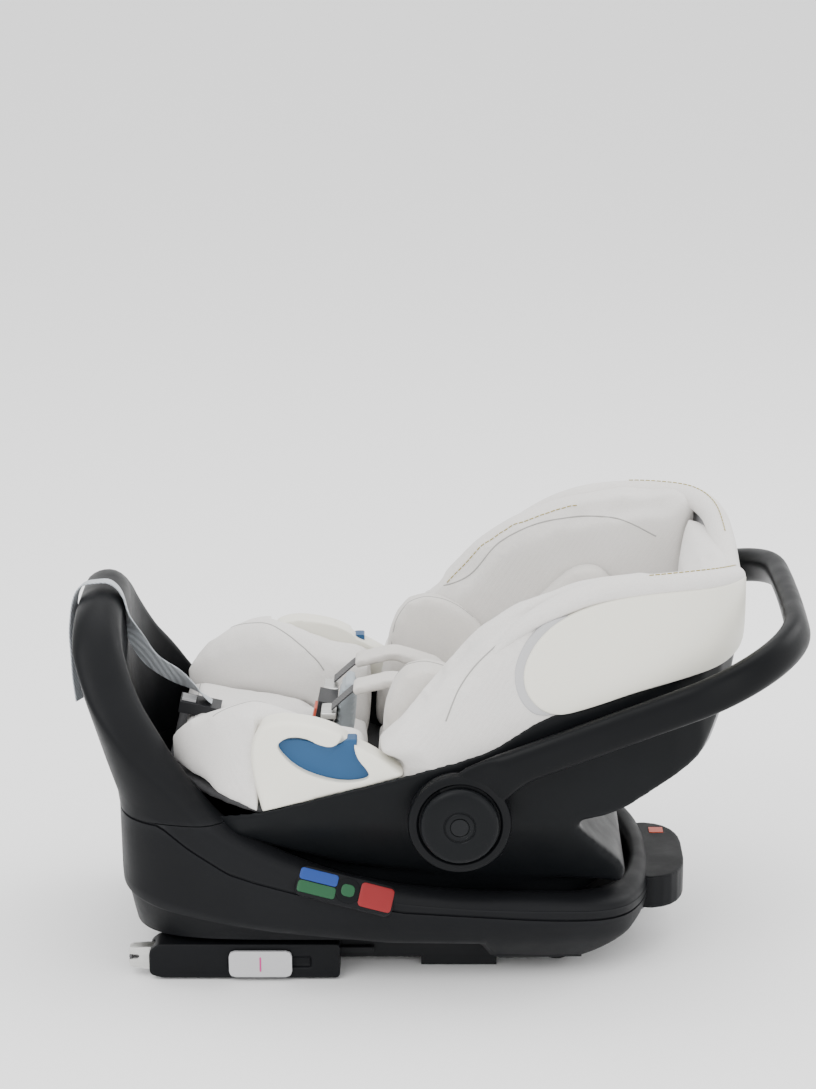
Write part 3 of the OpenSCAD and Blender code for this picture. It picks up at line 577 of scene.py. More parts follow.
def base_loft():
    outer, inner = plan_ring(PLAN), plan_ring(TUB)
    x, side = outer[:, 0], np.abs(outer[:, 1])
    crest = np.where(x > FOOT_X + 1, table(x, CREST), table(side, PANEL_TOP))
    window = np.hanning(9)
    window /= window.sum()
    wrap = np.concatenate([crest[-4:], crest, crest[:4]])
    crest = np.convolve(wrap, window, "valid")
    seam = table(x, SEAM)
    skirt = table(x, SKIRT)
    foot = ease((FOOT_FADE - x) / (FOOT_FADE - FOOT_X))

    def row(t, z, shrink=0.0):
        t = np.full(len(x), t, float)
        q = outer * (1 - t[:, None]) + inner * t[:, None]
        z = np.broadcast_to(z, x.shape).astype(float)
        q = q.copy()
        q[:, 1] *= 1 - table(z, NARROW) * (1 - t) / 192
        lean = table(z, [(100, 0), (194, 1), (231, 13), (300, 34), (344, 45), (376, 44), (390, 40)])
        q[:, 0] -= foot * lean * (1 - 0.68 * t)
        q[:, 1] *= 1 - shrink / 192
        q[:, 0] += shrink * np.where(x < -300, 1, 0)
        return np.column_stack([q, z])

    rise = crest - seam
    tall = np.clip((crest - 190) / 120, 0, 1)
    rows = [row(0.62, 47), row(0.5, np.minimum(skirt + 6, 60)), row(0.16, skirt + 2), row(0.07, skirt),
            row(0.02, skirt + 3)]
    for f in (0.12, 0.25, 0.4, 0.55, 0.7, 0.85, 0.95):
        z = skirt + 3 + (seam - skirt - 6) * f
        rows.append(row(0.0, z))
    rows += [row(0.0, seam - 1.6), row(0.045, seam - 0.9), row(0.045, seam + 0.9), row(-0.01, seam + 1.6)]
    for f in (0.1, 0.22, 0.35, 0.5, 0.65, 0.8):
        rows.append(row(-0.01, seam + 1.6 + (rise - 14) * f))
    roll = 15 + 4 * tall
    for k in range(7):
        a = math.pi / 2 * k / 6
        rows.append(row(0.5 * (1 - math.cos(a)), crest - roll * (1 - math.sin(a))))
    for k in range(1, 7):
        a = math.pi / 2 * k / 6
        rows.append(row(0.5 + 0.5 * math.sin(a), crest - (roll + 6) * (1 - math.cos(a))))
    for f in (0.15, 0.3, 0.5, 0.7, 0.85):
        rows.append(row(1.0, crest - 21 - 4 * tall - (crest - 75 - 4 * tall) * f))
    rows += [row(1.0, 52), row(1.1, 50)]
    return loft("base_loft", rows)


def half_of(ob, name, z, above, slot, *nodes):
    """Keeps what lies above or below a level and closes the cut."""
    piece = ob.copy()
    piece.data = ob.data.copy()
    piece.name = name
    bpy.context.scene.collection.objects.link(piece)
    bm = bmesh.new()
    bm.from_mesh(piece.data)
    cut = bmesh.ops.bisect_plane(bm, geom=bm.verts[:] + bm.edges[:] + bm.faces[:], dist=1e-6,
                                 plane_co=(0, 0, z * MM), plane_no=(0, 0, 1),
                                 clear_outer=not above, clear_inner=above)
    edges = [e for e in cut["geom_cut"] if isinstance(e, bmesh.types.BMEdge)]
    bmesh.ops.holes_fill(bm, edges=edges, sides=0)
    bm.to_mesh(piece.data)
    bm.free()
    shade(piece)
    return place(piece, slot, "base", *nodes)


def build_base():
    whole = base_loft()
    half_of(whole, "base_and_rim", 182.4, False, "base_plastic", "base_shell", "tub_shell")
    half_of(whole, "rebound_panel_body", 183.4, True, "tub_plastic", "rebound_panel", "panel_back_cover")
    bpy.data.objects.remove(whole)


build_base()

# ---------------------------------------------------------------- handle

HUB = (20, 197)
TILT = math.radians(21)
HANDLE_RISE, HANDLE_REACH, ARM_HALF, CORNER, BOW = 36, 380.0, 214.0, 122.0, 8.0
HUB_PROFILE = [(0, 203.6), (48, 203.6), (51.5, 204.6), (53, 207), (53, 214), (51.5, 217.4), (48, 219),
               (44, 219.4), (42.5, 218.2), (41.5, 216.5), (12.4, 216.5), (12.4, 206)]
DISC_PROFILE = [(12.2, 219.6), (38, 219.6), (39.4, 220.4), (40, 222), (39.4, 224.6), (37.6, 226.6),
                (34, 227.8),
                (26, 228.3), (18, 228.4), (16.6, 227.9), (16, 227), (15.2, 227), (14.6, 227.9), (13.4, 228.3),
                (10.4, 228.3), (9.8, 227.8), (9.5, 226)]
THICK_IN_HUB, ARM_THICK, GRIP_THICK = 4.3, 5.6, 2.4


def squircle(count, power):
    """Points of a rounded box section, from -1 to 1 both ways."""
    a = np.linspace(0, 2 * math.pi, count, endpoint=False)
    c, d = np.cos(a), np.sin(a)
    return np.sign(c) * np.abs(c) ** (2 / power), np.sign(d) * np.abs(d) ** (2 / power)


def build_handle():
    """The bar as one sweep from hub to hub, joined to two turned hub plates."""
    line = [(s, ARM_HALF) for s in np.linspace(-6, HANDLE_REACH - CORNER, 40)]
    arc = [(HANDLE_REACH - CORNER + CORNER * math.sin(a), ARM_HALF - CORNER + CORNER * math.cos(a))
           for a in np.linspace(0, math.pi / 2, 24)[1:]]
    bar = [(HANDLE_REACH, y) for y in np.linspace(ARM_HALF - CORNER, 0, 12)[1:]]
    path = line + arc + bar
    p = np.array(path + [(s, -y) for s, y in path[-2::-1]])
    p[:, 0] += BOW * (1 - (p[:, 1] / ARM_HALF) ** 2) * ease((p[:, 0] - 240) / 120)
    t = np.gradient(p, axis=0)
    t /= np.linalg.norm(t, axis=1, keepdims=True)
    out = np.stack([-t[:, 1], t[:, 0]], 1)
    across, up = squircle(36, 2.6)
    rows = []
    for (s, y), o in zip(p, out):
        # the bar is thin inside the hub, so that the button has room to be pressed
        thick = THICK_IN_HUB + ARM_THICK * ease((s - 41) / 24) + GRIP_THICK * ease((s - 230) / 120)
        low = 18.8 + 14 * ease((96 - s) / 60) ** 1.5
        high = 18.8 - 2.5 * ease((60 - s) / 60)
        lift = HANDLE_RISE + np.where(up > 0, up * high, up * low)
        if s < 70:
            lift -= 9 * ease((30 - s) / 36)
        along = s + o[0] * thick * across
        rows.append(np.column_stack([HUB[0] + along * math.cos(TILT) - lift * math.sin(TILT),
                                     y + o[1] * thick * across,
                                     HUB[1] + along * math.sin(TILT) + lift * math.cos(TILT)]))
    hubs = [turned("hub", HUB_PROFILE, side) for side in (-1, 1)]
    return join("handle_body", [loft("handle_bar", rows)] + hubs)


def turned(name, profile, side, centre=HUB, count=72):
    """A turned shape about the hub's axis, from (radius, |y|) points."""
    rows = []
    for r, y in profile:
        ang = np.linspace(0, 2 * math.pi, count, endpoint=False)
        rows.append(np.column_stack([centre[0] + max(r, 0.3) * np.cos(ang), np.full(count, side * y),
                                     centre[1] + max(r, 0.3) * np.sin(ang)]))
    return loft(name, rows)


def join(name, obs):
    bm = bmesh.new()
    for ob in obs:
        bm.from_mesh(ob.data)
    mesh = bpy.data.meshes.new(name)
    bm.to_mesh(mesh)
    bm.free()
    out = bpy.data.objects.new(name, mesh)
    bpy.context.scene.collection.objects.link(out)
    for ob in obs:
        bpy.data.objects.remove(ob)
    shade(out)
    return out


place(build_handle(), "handle_plastic", "handle", "handle")


def build_discs():
    for side, word in ((-1, "left"), (1, "right")):
        disc = turned(f"impact_cap_{word}", DISC_PROFILE, side)
        place(disc, "disc_plastic", f"impact_disc_{word}", f"impact_disc_{word}")


build_discs()

# ---------------------------------------------------------------- padded cover

def soft(name, node, voxel=0.0055, rounds=8, pressure=4.0, cap=0.010, slim=0.002, shape=None):
    """A padded form from a CAD solid: remeshed, shaped, blown up and smoothed."""
    ob = copy_of(name, node)
    apply(ob, "REMESH", mode="VOXEL", voxel_size=voxel)
    if shape:
        set_coords(ob, shape(coords(ob) / MM) * MM)
    apply(ob, "SMOOTH", factor=0.5, iterations=rounds)
    if slim:
        set_coords(ob, coords(ob) - normals(ob) * slim)
    puff(ob, pressure, cap)
    apply(ob, "SMOOTH", factor=0.5, iterations=2)
    apply(ob, "SUBSURF", levels=1, render_levels=1)
    return ob


def finish_soft(ob, slot, body, fill, *nodes):
    shade(ob, 60)
    place(ob, slot, body, *nodes)
    return ob


def drop_outer_top(co):
    """Lets a side bolster's top fall away outward from its crest."""
    out = co.copy()
    side = np.abs(co[:, 1])
    over = np.clip((side - 158) / 33, 0, 1)
    high = ease((co[:, 2] - 290) / 120)
    out[:, 2] += 6 * high - 18 * over ** 2 * high
    end = ease((co[:, 0] - 215) / 70) * ease((co[:, 2] - 320) / 60)
    out[:, 2] += 15 * end
    out[:, 0] += 5 * end
    return out


def build_bolsters():
    near = soft("side_bolster_near", "side_bolster_left", shape=drop_outer_top, rounds=22, pressure=2.2,
                cap=0.006)
    near_edge = [(-10, 0, 330), (35, 0, 378), (74, 0, 404), (137, 0, 428), (200, 0, 438)]
    groove(near, near_edge, axis=1, side=-1, depth=3, width=3)
    far = mirrored(near, "side_bolster_far")
    finish_soft(near, "seat_fabric", "carrier", 0.6, "side_bolster_left")
    finish_soft(far, "seat_fabric", "carrier", 0.6, "side_bolster_right")


def lower_the_hem(co):
    """Carries the leg cover down to the rim and out to the guide's face."""
    out = co.copy()
    low = ease((240 - co[:, 2]) / 36)
    side = ease((np.abs(co[:, 1]) - 140) / 36)
    out[:, 2] -= 17 * low * side
    out[:, 2] += 19 * ease((co[:, 2] - 236) / 50) * ease((np.abs(co[:, 1]) - 105) / 30)
    out[:, 1] += np.sign(co[:, 1]) * (4 + 7 * low) * side
    out[:, 0] += 13 * side * ease((co[:, 0] + 230) / 34) * ease((-150 - co[:, 0]) / 20)
    return out


def build_leg_covers():
    near = soft("leg_cover_near", "leg_bolster_left", shape=lower_the_hem, rounds=12, pressure=2.6,
                cap=0.008)
    far = mirrored(near, "leg_cover_far")
    finish_soft(near, "seat_fabric", "carrier", 0.6, "leg_bolster_left")
    finish_soft(far, "seat_fabric", "carrier", 0.6, "leg_bolster_right")


def raise_wings(co):
    """Lifts the headrest's two side wings."""
    out = co.copy()
    out[:, 2] += 20 * ease((np.abs(co[:, 1]) - 88) / 16) * ease((co[:, 2] - 340) / 40)
    return out


def build_pads():
    for name, node, rounds, cap in (("foot_cover", "foot_pad", 6, 0.008),
                                    ("seat_cover", "seat_pad", 6, 0.008),
                                    ("head_cover", "head_pad", 10, 0.010)):
        finish_soft(soft(name, node, rounds=rounds, cap=cap), "seat_fabric", "carrier", 0.5, node)
    insert = soft("infant_insert", "newborn_insert", voxel=0.005, rounds=8, cap=0.010)
    finish_soft(insert, "insert_fabric", "carrier", 0.7, "newborn_insert")
    rest = soft("headrest_pad", "headrest", voxel=0.005, rounds=8, cap=0.008, shape=raise_wings)
    finish_soft(rest, "insert_fabric", "headrest", 0.6, "headrest")
    crotch = soft("crotch_cover", "crotch_pad", voxel=0.004, rounds=6, cap=0.004, slim=0.001)
    finish_soft(crotch, "grey_pad", "carrier", 0.5, "crotch_pad")
    shoulder = soft("shoulder_cover_near", "shoulder_pad_left", voxel=0.004, rounds=6, cap=0.005, slim=0.001)
    far = mirrored(shoulder, "shoulder_cover_far")
    finish_soft(shoulder, "insert_fabric", "carrier", 0.5, "shoulder_pad_left")
    finish_soft(far, "insert_fabric", "carrier", 0.5, "shoulder_pad_right")


build_bolsters()
build_leg_covers()
build_pads()

# ---------------------------------------------------------------- moulded shells

def soften(name, node, voxel, rounds, *also):
    """A moulded piece from CAD solids with every edge rounded."""
    ob = copy_of(name, node, *also)
    remesh(ob, voxel, rounds)
    shade(ob, 60)
    place(ob, SLOT_OF[node], BODY_OF[node], node, *also)
    return ob


soften("carrier_body", "carrier_shell", 0.0030, 22)
for side in ("left", "right"):
    soften(f"anchor_arm_body_{side}", f"anchor_arm_{side}", 0.0012, 4)
    soften(f"anchor_grip_{side}", f"anchor_slider_{side}", 0.0010, 4)
soften("leg_head_body", "leg_head", 0.0015, 5)

# ---------------------------------------------------------------- panels on the carrier's sides

SIDE_LINE = spline([(-300, 190), (-160, 196), (-40, 198), (90, 198), (190, 197), (240, 189), (282, 168),
                    (306, 128), (315, 70), (317, 0)], 400)
SIDE_AT = np.concatenate([[0], np.cumsum(np.linalg.norm(np.diff(SIDE_LINE, axis=0), axis=1))]) - 300


def wrap(at, z, out):
    """Points on the carrier's near side, by arc length round the head end, pushed outward."""
    def line(a):
        return np.interp(a, SIDE_AT, SIDE_LINE[:, 0]), np.interp(a, SIDE_AT, SIDE_LINE[:, 1])

    (x, y), (x1, y1), (x0, y0) = line(at), line(at + 3), line(at - 3)
    size = np.hypot(x1 - x0, y1 - y0)
    return np.stack([x - out * (y1 - y0) / size, -(y + out * (x1 - x0) / size), z], 1)


def side_panel(name, outline, base, thick, edge=3.5, crown=0.0, count=120, rings=14):
    """A moulded panel on the near side: flat back, rounded edge, gently crowned face."""
    line = resample(smooth_closed(outline, 3), count, closed=True)
    centre = line.mean(0)
    reach = np.linalg.norm(line - centre, axis=1)
    rows = []

    def ring(inset, out):
        q = centre + (line - centre) * (1 - inset / reach)[:, None]
        rows.append(wrap(q[:, 0], q[:, 1], base + out))

    for f in (0.995, 0.6, 0.2):
        ring(reach * f, 0)
    ring(np.zeros(count), 0)
    for a in np.linspace(0, math.pi / 2, 7):
        ring(np.full(count, edge * (1 - math.cos(a))), thick - edge + edge * math.sin(a))
    for f in np.linspace(0, 1, rings)[1:]:
        ring(edge + (reach - edge) * f * 0.995, thick + crown * (1 - (1 - f) ** 2))
    return loft(name, rows)


def both_sides(ob, name, slot, body, nodes=((), ())):
    """Places a near-side piece and its mirrored twin."""
    far = mirrored(ob, f"{name}_far")
    ob.name = f"{name}_near"
    place(ob, slot, body, *nodes[0])
    place(far, slot, body, *nodes[1])
    return ob, far


HEAD_PANEL = [(82, 352), (88, 324), (112, 304), (150, 314), (200, 332), (250, 343), (300, 352), (350, 362),
              (390, 380), (398, 402), (384, 420), (342, 430), (290, 434), (240, 435), (200, 433), (158, 425),
              (118, 407), (94, 382)]
GUIDE = [(-182, 199), (-182, 199), (-110, 216), (-37, 238), (-36, 240), (-60, 257), (-84, 271), (-93, 274),
         (-100, 283), (-121, 292), (-148, 297), (-168, 297), (-184, 291), (-193, 270), (-192, 240)]
POCKET = [(-162, 264), (-166, 274), (-152, 282), (-136, 280), (-121, 272), (-106, 270), (-98, 282),
          (-92, 292), (-87, 290), (-88, 272), (-84, 258), (-72, 244), (-72, 236), (-97, 232), (-121,
                                                                                               237), (-146, 248)]


def cut(ob, cutter):
    mod = ob.modifiers.new("cut", "BOOLEAN")
    mod.operation = "DIFFERENCE"
    mod.solver = "EXACT"
    mod.object = cutter
    bpy.context.view_layer.objects.active = ob
    bpy.ops.object.modifier_apply(modifier=mod.name)
    bpy.data.objects.remove(cutter)


def build_side_panels():
    panel = side_panel("head_panel", HEAD_PANEL, -5, 6.2, 3, 1.8)
    both_sides(panel, "head_panel", "cream_plastic", "carrier",
               (("side_panel_left",), ("side_panel_right",)))
    # A grey band set under the head panel and showing past its edge: painted shade on the fabric round the
    # panel.
    wide = [(x - 9, z - 4 if z < 345 else z + 2) if x < 130
            else (240 + (x - 240) * 0.9, 380 + (z - 380) * 0.8) for x, z in HEAD_PANEL]
    band = side_panel("head_panel_shade_band", wide, -8, 6.5, 2.5)
    both_sides(band, "head_panel_shade_band", "grey_plastic", "carrier")
    guide = side_panel("belt_guide", GUIDE, -38, 33, 7, 3)
    cut(guide, side_panel("cutter", POCKET, -16, 40, 1))
    remesh(guide, 0.0014, 6)
    shade(guide, 60)
    both_sides(guide, "belt_guide", "cream_plastic", "carrier",
               (("belt_guide_left",), ("belt_guide_right",)))
    wider = [(x + (3 if x > -110 else -3), min(z, 277)) for x, z in POCKET]
    pocket = side_panel("belt_pocket", wider, -30, 18.5, 2, -1.5)
    both_sides(pocket, "belt_pocket", "blue_plastic", "carrier", (("belt_pockets",), ()))


build_side_panels()

# ---------------------------------------------------------------- straps

STRAP_WIDTH, STRAP_THICK = 25, 1.6


def build_pull_strap():
    route = [(-244, 255), (-262, 268), (-284, 283), (-305, 300), (-318, 322), (-327, 350), (-334, 378),
             (-346, 391.5), (-362, 392), (-376, 388), (-384, 372), (-386, 345), (-385, 318), (-384,
                                                                                              290), (-381, 262)]
    path = spline([(x, 0, z) for x, z in route], 90)
    turn = np.linspace(0, 1, len(path))
    path[:, 1] = -18 * ease((turn - 0.1) / 0.3) + 2 * np.sin(turn * 9)
    path[:, 2] += 2.5 * ease(turn / 0.1)
    twist = np.radians(8 + 50 * ease(turn / 0.16) * ease((0.44 - turn) / 0.14)
                       + 16 * ease((turn - 0.66) / 0.15))
    slope = np.gradient(path, axis=0)
    slope /= np.linalg.norm(slope, axis=1, keepdims=True)
    level = np.array([(0, 1, 0)] * len(path), float)
    across = level * np.cos(twist)[:, None] + np.cross(slope, level) * np.sin(twist)[:, None]
    strap = ribbon("adjusting_strap", path, across, STRAP_WIDTH, STRAP_THICK)
    place(strap, "grey_webbing", "carrier", "adjuster_strap")


build_pull_strap()


def build_harness():
    """The two shoulder straps as woven webbing along the CAD straps' own line."""
    solid = copy_of("strap_guide", "harness_straps")
    guide = tree_of(solid)
    bits, length = [], 0.0
    for y in (-46.5, 46.5):
        path = []
        for x in np.linspace(-114, 96, 50):
            hit, _, _, _ = guide.ray_cast(Vector((x, y, 400)) * MM, Vector((0, 0, -1)))
            if hit is not None:
                path.append((x, y, hit.z / MM - STRAP_THICK / 2))
        path = np.array(path)
        length += float(np.linalg.norm(np.diff(path, axis=0), axis=1).sum()) * MM
        bits.append(ribbon("strap", path, (0, 1, 0), STRAP_WIDTH, STRAP_THICK))
    bpy.data.objects.remove(solid)
    straps = join("harness_webbing", bits)
    place(straps, "black_webbing", "carrier", "harness_straps")


build_harness()
soften("foam_shell", "foam_pan", 0.0030, 12)
soften("tongue_plates", "buckle_tongues", 0.0008, 3)

# ---------------------------------------------------------------- small fittings

def plate(name, centre, right, up, outline, thick, edge=0.8, dome=0.0, count=64):
    """A thin rounded plate: its middle, its two in-plane directions and its outline in millimetres."""
    right, up = (np.array(v, float) / np.linalg.norm(v) for v in (right, up))
    face = np.cross(right, up)
    line = resample(outline, count, closed=True)
    middle = line.mean(0)
    rows = []

    def ring(scale, inset, out):
        d = line - middle
        size = np.linalg.norm(d, axis=1, keepdims=True)
        q = middle + d * np.maximum(scale - inset / size, 0.01)
        rows.append(np.array(centre, float) + q[:, :1] * right + q[:, 1:] * up + face * out)

    ring(0.01, 0, 0)
    ring(1, 0, 0)
    for a in np.linspace(0, math.pi / 2, 5):
        ring(1, edge * (1 - math.cos(a)), thick - edge + edge * math.sin(a))
    for f in (0.8, 0.6, 0.4, 0.2, 0.01):
        ring(f, edge * f, thick + dome * (1 - f * f))
    return loft(name, rows)


def pill(w, h, r, n=8):
    """A rounded rectangle, w by h."""
    points = []
    for cx, cy, a0 in ((w / 2 - r, h / 2 - r, 0), (r - w / 2, h / 2 - r, 90), (r - w / 2, r - h / 2, 180),
                       (w / 2 - r, r - h / 2, 270)):
        for a in np.linspace(a0, a0 + 90, n):
            points.append((cx + r * math.cos(math.radians(a)), cy + r * math.sin(math.radians(a))))
    return points


def colour(name, rgb, rough=0.35):
    MATERIAL[name] = plastic(name, rgb, rough, 0.05, 1200, 0, 0.2, 0.04)
    return name


def fitting(ob, look, slot, body, *nodes):
    place(ob, slot, body, *nodes)
    ob.data.materials[0] = MATERIAL[look]
    return ob


colour("sign_blue", (0.002, 0.035, 0.20))
colour("sign_green", (0.002, 0.060, 0.018))
colour("sign_red", (0.20, 0.002, 0.004))
colour("thread", (0.30, 0.24, 0.03))
# A darkened copy of the seat fabric's colour for the sewn lines: painted shade along the seams.
colour("painted_seam_shade", (0.30, 0.295, 0.28))
colour("magenta", (0.55, 0.02, 0.22))


def build_level_indicator():
    rim = tree_of(bpy.data.objects["base_and_rim"])
    slope = math.radians(15)
    right = np.array([math.cos(slope), 0, -math.sin(slope)])
    lean = math.radians(38)
    up = np.cross(np.array([0, -math.cos(lean), math.sin(lean)]), right)
    up /= np.linalg.norm(up)
    face = np.cross(right, up)
    hit, _, _, _ = rim.ray_cast(Vector((-0.097, -0.30, 0.150)), Vector((0, 1, -0.33)).normalized())
    middle = np.array(hit) / MM + face * 0.4

    def part(name, x, y, w, h, r, look, lift, *nodes):
        at = middle + right * x + up * y + face * (lift - 2.0)
        return fitting(plate(name, at, right, up, pill(w, h, r), 3.2, 0.5), look, "base_plastic",
                       "base", *nodes)

    fitting(plate("level_bezel", middle - face * 5, right, up, pill(103, 32, 8), 6.5, 1.4), "base_plastic",
            "base_plastic", "base", "level_housing")
    part("level_blue", -30, 6.8, 40, 12.6, 3, "sign_blue", 1.2)
    part("level_green", -30, -6.8, 40, 12.6, 3, "sign_green", 1.2)
    part("level_red", 32, 0, 35, 26, 4, "sign_red", 1.2)
    part("level_well", 2, 0, 24, 27, 11, "disc_plastic", 1.3)
    part("level_eye", 2, 0, 14, 13, 5, "sign_green", 1.9, "level_window")


build_level_indicator()


def build_back_strip():
    """The pale moulded strip under the head end of the carrier's shell."""
    shell = tree_of(bpy.data.objects["carrier_body"])
    line = []
    for a in np.linspace(-1, 1, 41):
        y = 150 * math.sin(a * math.pi / 2)
        line.append((215 + 78 * (1 - a * a) ** 0.5 if abs(a) < 1 else 215, y, 262 + 62 * (1 - a * a) ** 0.5))
    route = snap([(x, y, z) for x, y, z in line], shell, (-0.75, 0, 0.66), 0.6)
    points = np.array([q for q, _ in route])
    rows = []
    for (q, n) in route:
        side = np.cross(np.gradient(points, axis=0)[len(rows)], n)
        side /= max(np.linalg.norm(side), 1e-9)
        rows.append(np.array([q + side * s * 6.5 + n * h for s, h in
                              ((-1, -2), (-1, 0.6), (-0.8, 1.2), (0, 1.5), (0.8, 1.2), (1, 0.6), (1, -2))]))
    fitting(loft("back_strip", rows), "grey_plastic", "shell_plastic", "carrier")


build_back_strip()


def build_grip_stripes():
    """A fine coloured line down the outer face of each anchor slider."""
    for side, sign in (("left", -1), ("right", 1)):
        low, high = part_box(f"anchor_slider_{side}")
        low, high = np.array(low) / MM, np.array(high) / MM
        outer = abs(low[1] if sign < 0 else high[1]) + 0.1
        line = [((low[0] + high[0]) / 2, sign * outer, z) for z in np.linspace(low[2] + 7, high[2] - 7, 5)]
        stripe = tube(f"grip_stripe_{side}", line, 0.9, 8)
        fitting(stripe, "magenta", "grey_plastic", f"anchor_slider_{side}")


build_grip_stripes()

# ---------------------------------------------------------------- hem, seams and stitching

def side_path(points, inset, count=120, mirror=1):
    """A line on the carrier's side from (arc length, z) points, set in from the side line."""
    q = spline(points, count)
    p = wrap(q[:, 0], q[:, 1], -inset)
    p[:, 1] *= mirror
    return p


def build_hem():
    """The cover's rolled edge, over the tops of the head panels and round the head end."""
    half = [(40, 352), (70, 386), (105, 411), (150, 430), (200, 438), (250, 440), (300, 437), (350, 428),
            (400, 413), (440, 402), (SIDE_AT[-1] - 1, 398)]
    near = side_path(half, 12, 100)
    far = near[::-1].copy()
    far[:, 1] *= -1
    path = resample(np.vstack([near, far]), 220)
    end = np.minimum(np.arange(220), np.arange(220)[::-1]) / 220
    size = 5 + 8.5 * ease(end / 0.14)
    roll = tube("cover_hem", path, size, 16, 0.86)
    co, no = coords(roll), normals(roll)
    pleat = np.sin(co[:, 0] / 0.021) * np.sin(co[:, 2] / 0.034 + 1.3 * np.sin(co[:, 1] / 0.06))
    set_coords(roll, co + no * pleat[:, None] * 0.0008)
    apply(roll, "SUBSURF", levels=1, render_levels=1)
    shade(roll, 60)
    place(roll, "seat_fabric", "carrier")


def stitched(name, route, targets, direction, body, look="thread", radius=0.55, lift=0.5, dash=4.2, gap=2.0):
    """A row of thread stitches dropped onto a surface."""
    length = np.linalg.norm(np.diff(np.array(route, float), axis=0), axis=1).sum()
    line = resample(route, max(int(length / 2), 8))
    on = snap(line, tree_of(*targets), direction, lift)
    p = np.array([q for q, _ in on])
    at = np.concatenate([[0], np.cumsum(np.linalg.norm(np.diff(p, axis=0), axis=1))])
    bits = []
    for start in np.arange(0, at[-1] - dash, dash + gap):
        t = np.linspace(start, start + dash, 4)
        bits.append(tube("stitch", np.stack([np.interp(t, at, p[:, i]) for i in range(3)], 1), radius, 6))
    row = join(name, bits)
    return fitting(row, look, "seat_fabric", body)


def painted_seam_line(name, route, targets, direction, body, radius=0.9, lift=-0.35, look="painted_seam_shade"):
    """A sewn line drawn as a fine tube sunk into the surface, in a darkened copy of the fabric's colour: painted
    shade along the seam.
    """
    line = spline(route, 80)
    p = np.array([q for q, _ in snap(line, tree_of(*targets), direction, lift)])
    for _ in range(2):
        p[1:-1] = (p[:-2] + p[1:-1] * 2 + p[2:]) / 4
    return fitting(tube(name, p, radius, 8), look, "seat_fabric", body)


build_hem()

OB = bpy.data.objects
DOWN = (0, 0, -1)


def build_seams():
    """The cover's stitch rows and sewn lines, the same on both sides."""
    top = [(8, 349), (38, 378), (74, 404), (112, 422), (150, 434)]
    hem = [(210, 440), (260, 442), (310, 436), (360, 426), (400, 414)]
    outer = [(6, 300), (20, 335), (46, 368), (84, 398), (140, 422), (190, 430)]
    inner = [(-20, 0, 332), (30, 0, 352), (66, 0, 392), (120, 0, 416), (190, 0, 420), (236, 0, 400)]
    leg = [(-232, 152, 330), (-205, 140, 325), (-165, 124, 318), (-128, 108, 300)]
    insert = [(-58, 100, 380), (-30, 112, 380), (4, 118, 380), (36, 122, 380)]
    for word, sign in (("near", -1), ("far", 1)):
        bolster = OB[f"side_bolster_{word}"]
        cover = OB[f"leg_cover_{word}"]
        crest = [(x, sign * 148, z + 12) for x, z in top]
        stitched(f"bolster_stitch_{word}", crest, [bolster], DOWN, "carrier")
        edge = [tuple(p + (0, 0, 30)) for p in side_path(hem, 10, 40, -sign)]
        stitched(f"hem_stitch_{word}", edge, [OB["cover_hem"]], DOWN, "carrier")
        face = [(x, sign * 300, z) for x, z in outer]
        painted_seam_line(f"bolster_seam_{word}", face, [bolster], (0, -sign, 0), "carrier")
        painted_seam_line(f"inner_seam_{word}", inner, [bolster], (0, sign, 0), "carrier")
        across = [(x, sign * y, z) for x, y, z in leg]
        painted_seam_line(f"cover_seam_{word}", across, [cover, OB["seat_cover"]], DOWN, "carrier")
        wing = [(x, sign * y, z) for x, y, z in insert]
        painted_seam_line(f"insert_seam_{word}", wing, [OB["infant_insert"]], DOWN, "carrier")
    foot = [(-262, y, 330) for y in range(-96, 97, 24)]
    painted_seam_line("foot_seam", foot, [OB["foot_cover"]], DOWN, "carrier")


build_seams()


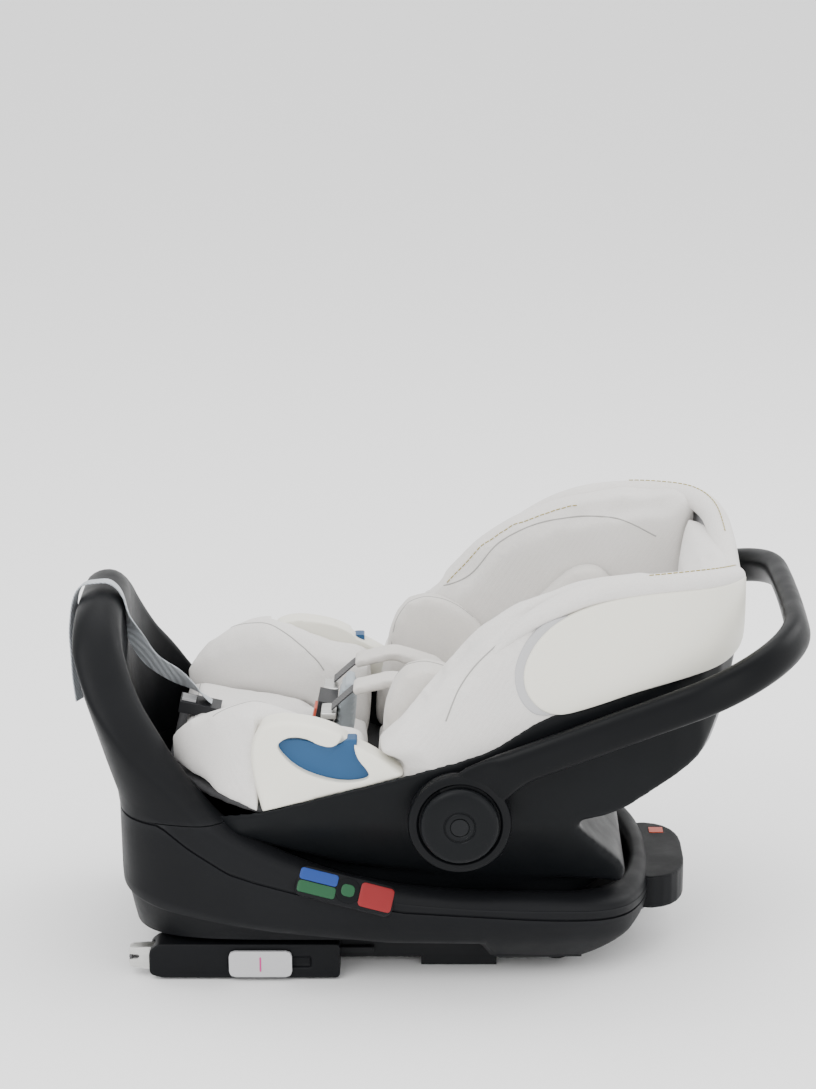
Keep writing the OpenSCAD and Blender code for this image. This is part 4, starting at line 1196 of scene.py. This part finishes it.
def rib_crotch_pad():
    """Moulded ribs across the crotch pad's two faces."""
    pad = OB["crotch_cover"]
    co, no = coords(pad), normals(pad)
    band = np.sin(co[:, 2] / MM / 6.2 * 2 * math.pi)
    face = ease((np.abs(no[:, 0]) - 0.4) / 0.3)
    set_coords(pad, co + no * (band * face * 0.9 * MM)[:, None])


rib_crotch_pad()

# ---------------------------------------------------------------- floor, light and camera

def build_stage():
    bm = bmesh.new()
    bmesh.ops.create_grid(bm, x_segments=2, y_segments=2, size=40.0)
    for v in bm.verts:
        v.co.z = -0.0005
    mesh = bpy.data.meshes.new("floor")
    bm.to_mesh(mesh)
    bm.free()
    floor = bpy.data.objects.new("floor", mesh)
    bpy.context.scene.collection.objects.link(floor)
    mesh.materials.append(shader("floor", (0.95, 0.95, 0.95), 0.75)[0])
    world = bpy.data.worlds.new("studio")
    bpy.context.scene.world = world
    world.use_nodes = True
    world.node_tree.nodes["Background"].inputs["Color"].default_value = (1, 1, 1, 1)
    world.node_tree.nodes["Background"].inputs["Strength"].default_value = 1.6
    for name, spot, size, power in (("key", (-1.4, -2.2, 2.6), 2.2, 62), ("top", (0.3, 0.4, 3.0), 2.6, 46),
                                    ("rim", (2.4, 1.2, 1.6), 1.6, 26), ("fill", (1.8, -2.8, 1.0), 2.0, 22)):
        light = bpy.data.lights.new(name, "AREA")
        light.size = size
        light.energy = power
        ob = bpy.data.objects.new(name, light)
        ob.location = spot
        ob.rotation_euler = (Vector((0, 0, 0.2)) - Vector(spot)).to_track_quat("-Z", "Y").to_euler()
        bpy.context.scene.collection.objects.link(ob)


def build_camera():
    target, height, distance = Vector((0, 0, 0.2)), math.radians(19.5), 3.5
    data = bpy.data.cameras.new("camera")
    data.lens = 107.6
    data.sensor_fit = "VERTICAL"
    data.sensor_height = 36
    data.shift_x = -0.0294
    data.shift_y = 0.1887
    camera = bpy.data.objects.new("camera", data)
    camera.location = target + distance * Vector((0, -math.cos(height), math.sin(height)))
    camera.rotation_euler = (target - camera.location).to_track_quat("-Z", "Y").to_euler()
    bpy.context.scene.collection.objects.link(camera)
    bpy.context.scene.camera = camera


build_stage()
build_camera()
